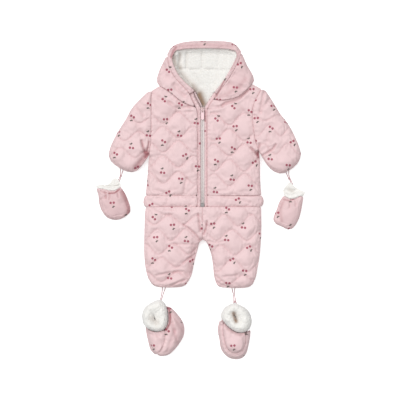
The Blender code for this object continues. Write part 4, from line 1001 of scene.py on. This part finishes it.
def gather(thing, panel, settings):
    """Puckers a panel beside its seams and quilting, folds it, and marks painted shade in its seams, stitch
    grooves and folds.
    """
    points, outward = read(thing.data), read(thing.data, "normal")
    x, y = plan_of(points)
    gap, along, foot = rim_measure(np.column_stack([x, y]), panel.loop)
    wall = (gap < 0.7) & (np.abs(outward[:, 2]) < 0.8)
    points[wall, :2] = (foot[wall] - CENTRE + SEAM_LAP * outward[wall, :2]) * MM
    facing = np.clip(outward[:, 2] * panel.sign * 2.0, 0, 1)
    lift = pleats(gap, along, panel.seed) * settings.pucker * fade(gap, 1.5)
    lift += SWAY_HEIGHT * sway(x, y, SWAY_SIZE, panel.seed) * fade(gap, 8.0)
    lift += settings.crease * creases(x, y, CREASE_SIZE, panel.seed) * fade(gap, 4.0)
    # Painted shade: darker along the seams, the stitch grooves and the folds.
    painted_shade = SEAM_PAINTED_SHADE * np.exp(-gap / SEAM_PAINTED_SHADE_REACH)
    if panel.rows:
        offset, _, reach = nearest_wave(x, y, panel.rows)
        near = np.abs(offset)
        gathers = pleats(near, reach, panel.seed + np.sign(offset))
        lift += gathers * settings.pucker * fade(near, 1.5)
        lift -= STITCH_GROOVE * panel.drawn * np.exp(-(near / 1.5) ** 2) * fade(gap, 5.0)
        painted_shade = np.maximum(painted_shade, STITCH_PAINTED_SHADE * np.exp(-near / STITCH_PAINTED_SHADE_REACH))
    for depth, half_width, tone, *line in panel.folds:
        away = line_distance(x, y, line) / half_width
        trough = np.exp(-away**2) - 0.25 * np.exp(-(away - 2.1)**2)
        lift -= depth * MM * trough * np.clip(0.3 + gap / 4.0, 0, 1)
        painted_shade = painted_shade + tone * np.exp(-(1.2 * away)**2)
    if not panel.upwards:
        lift = np.minimum(lift, 0.0) - 0.0012 * np.exp(-gap / 3.0) * (gap > 0.5)
    points[:, 2] += panel.sign * lift * facing
    if not panel.upwards:
        points[:, 2] = np.maximum(points[:, 2], panel.lowest)
    write(thing.data, points)
    # The sewn attribute holds the painted shade.
    mark(thing, "sewn", painted_shade * facing)


def pleats(gap, along, seed):
    """Small gathers square to a seam, which die away from it."""
    phase = along / PLEAT_PITCH * 2 * math.pi + 1.6 * np.sin(along / 23.0 + seed) + seed
    strength = 0.65 + 0.35 * np.sin(along / 31.0 + 2.0 * seed)
    return strength * np.sin(phase) * np.exp(-gap / PLEAT_REACH)


def padded_piece(node, printed, grain=None, upwards=True, sewn_height=0.0165, swelling=1.0):
    """Dresses a padded CAD panel: remeshed, quilted, filled out, gathered, printed and stitched."""
    settings = bpy.context.scene.snowsuit_cloth
    grain = grain or settings.grain
    thing = plain_copy(node, f"padded_{node}")
    panel = Panel(node, thing, upwards)
    apply(thing, "even", "REMESH", mode="VOXEL", voxel_size=grain)
    held = rough_out(thing, panel, grain, sewn_height, settings)
    if upwards:
        fill_out(thing, held, settings, swelling)
    finer(thing)
    gather(thing, panel, settings)
    print_map(thing, PRINT_STARTS[printed])
    dress(thing, "printed shell cloth", "shell", node)
    if panel.rows:
        sew(f"stitching_{node}", thing, quilting_lines(panel), settings.stitch)


# Plush --------------------------------------------------------------------------------------------


def plush_piece(nodes, form, grain, finish="white plush", tufts=1.0, swell=0.0):
    """Dresses plush CAD pieces as one: remeshed finely, folded, their pile raised in soft tufts.

    The form is the name under which the tables hold its folds, the painted shade of its hollows and where it
    falls together.
    """
    settings = bpy.context.scene.snowsuit_cloth
    parts = [plain_copy(node, f"plush_{node}") for node in nodes]
    thing = parts[0]
    if len(parts) > 1:
        alone(thing)
        for part in parts:
            part.select_set(True)
        bpy.ops.object.join()
    apply(thing, "even", "REMESH", mode="VOXEL", voxel_size=grain)
    mesh = thing.data
    points, edges = read(mesh), edges_of(mesh)
    low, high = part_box(nodes[0])
    hold = 1 - fade(points[:, 2] - low[2], 0.004)
    for axis in range(3):
        points[:, axis] = smoothed(points[:, axis], edges, 6, hold)
    if form in PINCHES:
        points = pinched(points, high[2], *PINCHES[form])
    write(mesh, points)
    finer(thing)
    mesh = thing.data
    points, outward = read(mesh), read(mesh, "normal")
    pile = np.array([tuft_height(Vector(point)) for point in points])
    rise = fade(points[:, 2] - low[2], 0.003)
    points += outward * ((settings.pile * tufts * pile + swell) * rise)[:, None]
    x, y = plan_of(points)
    for depth, half_width, _, *line in FOLDS.get(form, ()):
        away = line_distance(x, y, line) / half_width
        points[:, 2] -= depth * MM * np.exp(-away**2) * rise * np.clip(outward[:, 2] * 2, 0, 1)
    points[:, 2] = np.maximum(points[:, 2], low[2])
    write(mesh, points)
    # Painted shade in the plush's hollows, kept in the hollow attribute.
    painted_hollow_shade = np.zeros(len(points))
    for strength, half_width, *line in PAINTED_HOLLOW_SHADES[form]:
        painted_hollow_shade = np.maximum(painted_hollow_shade, strength * np.exp(-(line_distance(x, y, line) / half_width)**2))
    mark(thing, "hollow", painted_hollow_shade)
    dress(thing, finish, "plush", *nodes)


def pinched(points, top, x, y, half_width, half_length, turn):
    """Draws the walls of an oval hollow together below its rim, as soft plush falls shut."""
    turn = math.radians(turn)
    spot_x, spot_y = plan_of(points)
    across = (spot_x - x) * math.cos(turn) + (spot_y - y) * math.sin(turn)
    up = (spot_y - y) * math.cos(turn) - (spot_x - x) * math.sin(turn)
    inward = np.clip(1.9 - np.hypot(across / half_width, up / half_length), 0, 0.6) / 0.6
    deep = fade(top - 0.002 - points[:, 2], PINCH_DEPTH)
    close = inward * deep * deep * (3 - 2 * deep)
    across, up = across * (1 - 0.86 * close), up * (1 - 0.45 * close)
    moved = points.copy()
    moved[:, 0] = (x + across * math.cos(turn) - up * math.sin(turn) - CENTRE[0]) * MM
    moved[:, 1] = (y + across * math.sin(turn) + up * math.cos(turn) - CENTRE[1]) * MM
    return moved


def tuft_height(point):
    """Height of the pile at a point, from 0 between tufts to about 1 on one."""
    near = noise.voronoi(point * TUFT_SCALE)[0]
    fine = noise.noise(point * HAIR_SCALE)
    return 0.75 - 1.1 * min(near[0], 1.0) + 0.35 * fine


# Sewing -------------------------------------------------------------------------------------------


def one_bead(segments, rings, half_length, half_width, half_height):
    """A small rounded shape that is copied many times, as points and faces about its middle."""
    bpy.ops.object.select_all(action="DESELECT")
    bpy.ops.mesh.primitive_uv_sphere_add(segments=segments, ring_count=rings, radius=1.0)
    bead = bpy.context.active_object
    bpy.ops.object.mode_set(mode="EDIT")
    bpy.ops.mesh.select_all(action="SELECT")
    bpy.ops.transform.rotate(value=math.pi / 2, orient_axis="Y", center_override=(0, 0, 0))
    bpy.ops.transform.resize(value=(half_length, half_width, half_height), center_override=(0, 0, 0))
    bpy.ops.object.mode_set(mode="OBJECT")
    points = read(bead.data)
    faces = [tuple(face.vertices) for face in bead.data.polygons]
    drop(bead)
    return points, faces


def copies(name, bead, frames):
    """One mesh of a bead set down at each frame, a frame being its middle and its three axes."""
    shape, faces = bead
    points, joined = [], []
    for middle, ahead, side, up in frames:
        first = len(points)
        points.extend(middle + ahead * p[0] + side * p[1] + up * p[2] for p in shape)
        joined.extend(tuple(first + corner for corner in face) for face in faces)
    return new_object(name, points, joined)


def upright(middle, ahead):
    """A bead's frame along a direction, as level as it can be."""
    ahead = ahead / np.linalg.norm(ahead)
    side = np.cross((0.0, 0.0, 1.0), ahead)
    side /= np.linalg.norm(side)
    return middle, ahead, side, np.cross(ahead, side)


def sew(name, cloth, lines, pitch):
    """Rows of stitches that lie in the surface of a piece, as one mesh."""
    stitch = one_bead(6, 4, half_length=0.36 * pitch, half_width=0.00032, half_height=0.00026)
    tree = BVHTree.FromObject(cloth, bpy.context.evaluated_depsgraph_get())
    found = []
    for line in lines:
        along = lengths(line)
        count = int(along[-1] / (pitch / MM))
        for k in range(count):
            ends = sample(line, ((k + 0.16) / count, (k + 0.84) / count))
            spots = []
            for x, y in ends:
                above = Vector(place(x, y, 90.0))
                hit, normal, _, _ = tree.ray_cast(above, Vector((0, 0, -1)))
                if hit is None or normal.z < 0.2:
                    break
                spots.append(np.array(hit))
            if len(spots) == 2 and abs(spots[0][2] - spots[1][2]) < 0.0015:
                found.append(upright((spots[0] + spots[1]) / 2 - (0, 0, 0.00005), spots[1] - spots[0]))
    thing = copies(name, stitch, found)
    dress(thing, "sewing thread", "shell")


def quilting_lines(panel):
    """The stretches of each stitched wave that lie on a panel, some way in from its rim."""
    low, high = panel.loop.min(axis=0), panel.loop.max(axis=0)
    x = np.arange(low[0], high[0], 1.0)
    lines = []
    for row in panel.rows:
        line = np.column_stack([x, wave(x, row)[0]])
        keep = inside(line, panel.loop) & (rim_measure(line, panel.loop)[0] > STITCH_MARGIN)
        breaks = np.flatnonzero(np.diff(keep)) + 1
        lines += [stretch for stretch, kept in zip(np.split(line, breaks), np.split(keep, breaks))
                  if kept[0] and len(stretch) > SHORTEST_STRETCH]
    return lines


def inside(plan, loop):
    """Which plan points lie inside a closed outline."""
    within = np.zeros(len(plan), bool)
    for (x1, y1), (x2, y2) in zip(loop, np.roll(loop, -1, axis=0)):
        spans = (y1 > plan[:, 1]) != (y2 > plan[:, 1])
        crossing = (x2 - x1) * (plan[:, 1] - y1) / (y2 - y1 if y2 != y1 else 1e-9) + x1
        within ^= spans & (plan[:, 0] < crossing)
    return within


# Zip ----------------------------------------------------------------------------------------------


def tape_sheet(node):
    """The woven tape on top of its CAD strip, as a thin sheet that fades to the cloth past the slider."""
    copy = plain_copy(node, f"tape_{node}")
    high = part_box(node)[1][2]
    form = bmesh.new()
    form.from_mesh(copy.data)
    hidden = [face for face in form.faces if face.normal.z < 0.3]
    bmesh.ops.delete(form, geom=hidden, context="FACES")
    bmesh.ops.subdivide_edges(form, edges=form.edges[:], cuts=2, use_grid_fill=True)
    form.to_mesh(copy.data)
    form.free()
    points = read(copy.data)
    points[:, 2] = high - 0.0001
    write(copy.data, points)
    apply(copy, "thickness", "SOLIDIFY", thickness=0.0009, offset=-1.0, use_even_offset=True)
    points = read(copy.data)
    slider_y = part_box("zip_slider")[1][1] / MM + CENTRE[1]
    mark(copy, "facing", fade(plan_of(points)[1] - slider_y, 6.0))
    dress(copy, "woven zip tape", "zip_tape", node)


def zip_teeth(name, line, z, finish):
    """The coil's bars across a line, shifted from side to side in turn."""
    count = int(lengths(line)[-1] / TOOTH_PITCH)
    middles = sample(line, (np.arange(count) + 0.5) / count)
    ahead = np.gradient(middles, axis=0)
    ahead /= np.linalg.norm(ahead, axis=1)[:, None]
    across = np.column_stack([ahead[:, 1], -ahead[:, 0]])
    found = []
    for k, (middle, way) in enumerate(zip(middles, across)):
        x, y = middle + way * (TOOTH_SHIFT if k % 2 else -TOOTH_SHIFT)
        found.append(upright(np.array(place(x, y, z)), np.array((*way, 0.0))))
    tooth = one_bead(6, 5, half_length=0.0019, half_width=0.0006, half_height=0.0007)
    thing = copies(name, tooth, found)
    dress(thing, finish, "zip_metal")


# Operators ----------------------------------------------------------------------------------------


class SNOWSUIT_OT_cords(bpy.types.Operator):
    """Make the cord loops that hold the mittens and booties"""

    bl_idname = "snowsuit.cords"
    bl_label = "Cord loops"
    bl_options = {"REGISTER", "UNDO"}

    def execute(self, context):
        for name, route in LOOPS.items():
            self.loop(name, route)
        return {"FINISHED"}

    def loop(self, name, route):
        """One cord of three twisted strands along its route, with its knot."""
        line = smooth_line(route)
        length = lengths(line)[-1]
        line = sample(line, np.linspace(0, 1, 3 * round(length / LOOP_STEP) + 1))
        thing = new_object(f"cord_{name}", *self.strands(line))
        alone(thing)
        bpy.ops.object.mode_set(mode="EDIT")
        bpy.ops.mesh.select_all(action="SELECT")
        bpy.ops.mesh.normals_make_consistent(inside=False)
        bpy.ops.object.mode_set(mode="OBJECT")
        path = [place(x, y, LOOP_Z) for x, y in line[::3]]
        dress(thing, "braided cord", "cord", f"loop_{name}")
        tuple(path[0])
        self.knot(name, *KNOTS[name])

    def strands(self, line):
        """The points and faces of three strands twisted into one cord, ring by ring along a line."""
        ahead = np.gradient(line, axis=0)
        ahead /= np.linalg.norm(ahead, axis=1)[:, None]
        points, faces = [], []
        for k, ((x, y), (dx, dy)) in enumerate(zip(line, ahead)):
            for side in range(LOOP_SIDES):
                angle = 2 * math.pi * side / LOOP_SIDES
                furrow = STRAND_DEPTH * math.cos(3 * angle - k * LOOP_TWIST)
                reach = LOOP_DIAMETER / 2 * (1 - STRAND_DEPTH + furrow)
                across, up = reach * math.cos(angle), reach * math.sin(angle)
                points.append(place(x - dy * across, y + dx * across, LOOP_Z + up))
        for ring in range(0, (len(line) - 1) * LOOP_SIDES, LOOP_SIDES):
            beyond = ring + LOOP_SIDES
            for side in range(LOOP_SIDES):
                after = (side + 1) % LOOP_SIDES
                faces.append((ring + side, beyond + side, beyond + after, ring + after))
        faces.append(tuple(range(LOOP_SIDES)))
        faces.append(tuple(reversed(range(len(points) - LOOP_SIDES, len(points)))))
        return points, faces

    def knot(self, name, x, y, turn):
        """The knot that ties a loop's two sides together: three turns of the cord over each other."""
        middle = np.array(place(x, y, LOOP_Z + 0.5))
        along = np.array((math.sin(math.radians(turn)), -math.cos(math.radians(turn)), 0.0))
        frames = []
        for tilt, shift in ((-32, -1.1), (28, 1.1), (90, 0.0)):
            angle = math.radians(turn + tilt)
            ahead = np.array((math.cos(angle), math.sin(angle), 0.0))
            frames.append(upright(middle + shift * MM * along, ahead))
        bead = one_bead(12, 8, half_length=0.0031, half_width=0.0014, half_height=0.0016)
        thing = copies(f"knot_{name}", bead, frames)
        dress(thing, "braided cord", "cord")
        return thing


class SNOWSUIT_OT_jacket(bpy.types.Operator):
    """Make the quilted fronts, the back and the hem band"""

    bl_idname = "snowsuit.jacket"
    bl_label = "Jacket"
    bl_options = {"REGISTER", "UNDO"}

    def execute(self, context):
        padded_piece("front_right", "front_right")
        padded_piece("front_left", "front_left")
        padded_piece("hem_band_right", "front_right")
        padded_piece("hem_band_left", "front_left")
        padded_piece("back", "front_right", upwards=False, grain=0.006)
        padded_piece("hem_band_back", "front_right", upwards=False)
        return {"FINISHED"}


class SNOWSUIT_OT_zip(bpy.types.Operator):
    """Make the zip's welts, tapes and teeth, and finish its slider, stop and pull tab"""

    bl_idname = "snowsuit.zip"
    bl_label = "Zip"
    bl_options = {"REGISTER", "UNDO"}

    def execute(self, context):
        for hand in ("right", "left"):
            padded_piece(f"zip_welt_{hand}", f"front_{hand}", grain=0.0019)
        for hand, (cut, area) in TAPES.items():
            tape_sheet(f"zip_tape_{hand}")
        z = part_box("zip_tape_right")[1][2] / MM + 0.2
        zip_teeth("zip_teeth_closed", np.array(CLOSED_COIL), z, "zip coil")
        zip_teeth("zip_teeth_open", smooth_line(OPEN_COIL), z, "shaded zip coil")
        for node, finish in (("zip_slider", "painted slider"), ("zip_bottom_stop", "dark stop"),
                             ("pull_tab", "pale pink pull")):
            mesh = bpy.data.objects[node]
            mesh.material_slots[0].link = "OBJECT"
            mesh.material_slots[0].material = material(finish)
        return {"FINISHED"}


class SNOWSUIT_OT_sleeves(bpy.types.Operator):
    """Make the quilted sleeves"""

    bl_idname = "snowsuit.sleeves"
    bl_label = "Sleeves"
    bl_options = {"REGISTER", "UNDO"}

    def execute(self, context):
        for hand in ("right", "left"):
            padded_piece(f"sleeve_{hand}_top", f"sleeve_{hand}")
            padded_piece(f"sleeve_{hand}_under", f"sleeve_{hand}", upwards=False, grain=0.0055)
        return {"FINISHED"}


class SNOWSUIT_OT_trousers(bpy.types.Operator):
    """Make the quilted trouser legs"""

    bl_idname = "snowsuit.trousers"
    bl_label = "Trousers"
    bl_options = {"REGISTER", "UNDO"}

    def execute(self, context):
        for leg in ("right", "left"):
            padded_piece(f"leg_{leg}_front", f"leg_{leg}")
            padded_piece(f"leg_{leg}_back", f"leg_{leg}", upwards=False, grain=0.0055)
        return {"FINISHED"}


class SNOWSUIT_OT_hood(bpy.types.Operator):
    """Make the hood's shell and its plush lining"""

    bl_idname = "snowsuit.hood"
    bl_label = "Hood"
    bl_options = {"REGISTER", "UNDO"}

    def execute(self, context):
        for hand in ("right", "left"):
            padded_piece(f"hood_side_{hand}", "hood", sewn_height=0.021)
        padded_piece("hood_band", "hood", sewn_height=0.021)
        padded_piece("hood_back", "hood", upwards=False, grain=0.0055)
        plush_piece(("hood_lining_back", "hood_lining_side"), "hood_lining", grain=0.0026,
                    finish="lining plush", tufts=0.6, swell=0.0016)
        return {"FINISHED"}


class SNOWSUIT_OT_mittens(bpy.types.Operator):
    """Make the mittens and the plush lips of their wrists"""

    bl_idname = "snowsuit.mittens"
    bl_label = "Mittens"
    bl_options = {"REGISTER", "UNDO"}

    def execute(self, context):
        for hand in ("right", "left"):
            padded_piece(f"mitten_{hand}_top", f"mitten_{hand}", grain=0.003, sewn_height=0.009, swelling=0.3)
            padded_piece(f"mitten_{hand}_under", f"mitten_{hand}", upwards=False, grain=0.004)
            for side in ("top", "under"):
                plush_piece((f"mitten_{hand}_lip_{side}",), f"mitten_{hand}_lip", grain=0.0022, tufts=0.4)
        return {"FINISHED"}


class SNOWSUIT_OT_booties(bpy.types.Operator):
    """Make the booties and their plush cuffs"""

    bl_idname = "snowsuit.booties"
    bl_label = "Booties"
    bl_options = {"REGISTER", "UNDO"}

    def execute(self, context):
        for foot, sewn_height in (("right", 0.027), ("left", 0.0235)):
            for part in ("vamp", "side"):
                padded_piece(f"bootie_{foot}_{part}", f"bootie_{foot}", grain=0.0032, sewn_height=sewn_height,
                             swelling=0.3)
            padded_piece(f"bootie_{foot}_sole", f"bootie_{foot}", upwards=False, grain=0.004)
            plush_piece((f"bootie_{foot}_cuff",), f"bootie_{foot}_cuff", grain=0.0026)
        return {"FINISHED"}


class SNOWSUIT_OT_stage(bpy.types.Operator):
    """Set up the floor, the soft lights and the camera"""

    bl_idname = "snowsuit.stage"
    bl_label = "Stage"
    bl_options = {"REGISTER", "UNDO"}

    def execute(self, context):
        stage = context.scene.snowsuit_stage
        self.table(stage)
        world = bpy.data.worlds.new("soft studio")
        world.use_nodes = True
        background = world.node_tree.nodes["Background"]
        background.inputs["Color"].default_value = (1.0, 0.995, 0.99, 1.0)
        background.inputs["Strength"].default_value = stage.sky
        context.scene.world = world
        self.sun("key", (-0.8, 0.75, 1.9), stage.key)
        self.sun("fill", (1.2, 0.6, 1.9), 0.25 * stage.key)
        self.camera(stage)
        context.scene.view_settings.view_transform = "Standard"
        return {"FINISHED"}

    def table(self, stage):
        """The pale floor that the suit lies on, which glows a little."""
        bpy.ops.object.select_all(action="DESELECT")
        bpy.ops.mesh.primitive_plane_add(size=8.0, location=(0, 0, -FLOOR_GAP))
        floor = bpy.context.active_object
        floor.name = "floor"
        bpy.ops.object.transform_apply(location=True)
        finish = Finish("floor paper")
        grain = finish.noise(finish.place(), 4.0)
        tone = tuple(stage.floor)
        paper = finish.mix(grain * 0.1, tone, tuple(channel * 0.995 for channel in tone))
        finish.surface(paper, 0.95, specular_ior_level=0.0, emission_color=(1.0, 1.0, 1.0, 1.0),
                       emission_strength=stage.glow)
        floor.data.materials.append(finish.material)
        floor.visible_diffuse = False

    def sun(self, name, where, strength):
        """Light from one side of the studio, as soft as from a large white screen."""
        data = bpy.data.lights.new(name, "SUN")
        data.energy = strength
        data.angle = math.radians(SUN_SPREAD)
        lamp = bpy.data.objects.new(name, data)
        bpy.context.collection.objects.link(lamp)
        lamp.location = where
        lamp.rotation_euler = (-Vector(where)).to_track_quat("-Z", "Y").to_euler()

    def camera(self, stage):
        """The camera, straight above the suit's middle."""
        data = bpy.data.cameras.new("camera")
        data.sensor_width = 36.0
        data.lens = data.sensor_width * stage.height / stage.width
        data.clip_end = 50.0
        camera = bpy.data.objects.new("camera", data)
        bpy.context.collection.objects.link(camera)
        camera.location = (*PICTURE_CENTRE, stage.height)
        bpy.context.scene.camera = camera


STEPS = (SNOWSUIT_OT_stage, SNOWSUIT_OT_cords, SNOWSUIT_OT_jacket, SNOWSUIT_OT_zip, SNOWSUIT_OT_sleeves,
         SNOWSUIT_OT_trousers, SNOWSUIT_OT_hood, SNOWSUIT_OT_mittens, SNOWSUIT_OT_booties)


class SNOWSUIT_PT_panel(bpy.types.Panel):
    """The suit's pieces, sizes and colours"""

    bl_idname = "SNOWSUIT_PT_panel"
    bl_label = "Baby snowsuit"
    bl_space_type = "VIEW_3D"
    bl_region_type = "UI"
    bl_category = "Snowsuit"

    def draw(self, context):
        for step in STEPS:
            self.layout.operator(step.bl_idname)
        for name in GROUPS:
            group = getattr(context.scene, name)
            box = self.layout.box()
            for key in group.bl_rna.properties.keys():
                if key not in ("rna_type", "name"):
                    box.prop(group, key)


CLASSES = (SnowsuitColours, SnowsuitCloth, SnowsuitStage, *STEPS, SNOWSUIT_PT_panel)
GROUPS = {
    "snowsuit_colours": SnowsuitColours, "snowsuit_cloth": SnowsuitCloth, "snowsuit_stage": SnowsuitStage,
}


def register():
    for each in CLASSES:
        bpy.utils.register_class(each)
    for name, group in GROUPS.items():
        setattr(bpy.types.Scene, name, PointerProperty(type=group))


def unregister():
    for name in GROUPS:
        delattr(bpy.types.Scene, name)
    for each in reversed(CLASSES):
        bpy.utils.unregister_class(each)


def main():
    """Dresses the whole suit."""
    register()
    for step in STEPS:
        group, name = step.bl_idname.split(".")
        getattr(getattr(bpy.ops, group), name)()


if __name__ == "__main__":
    main()
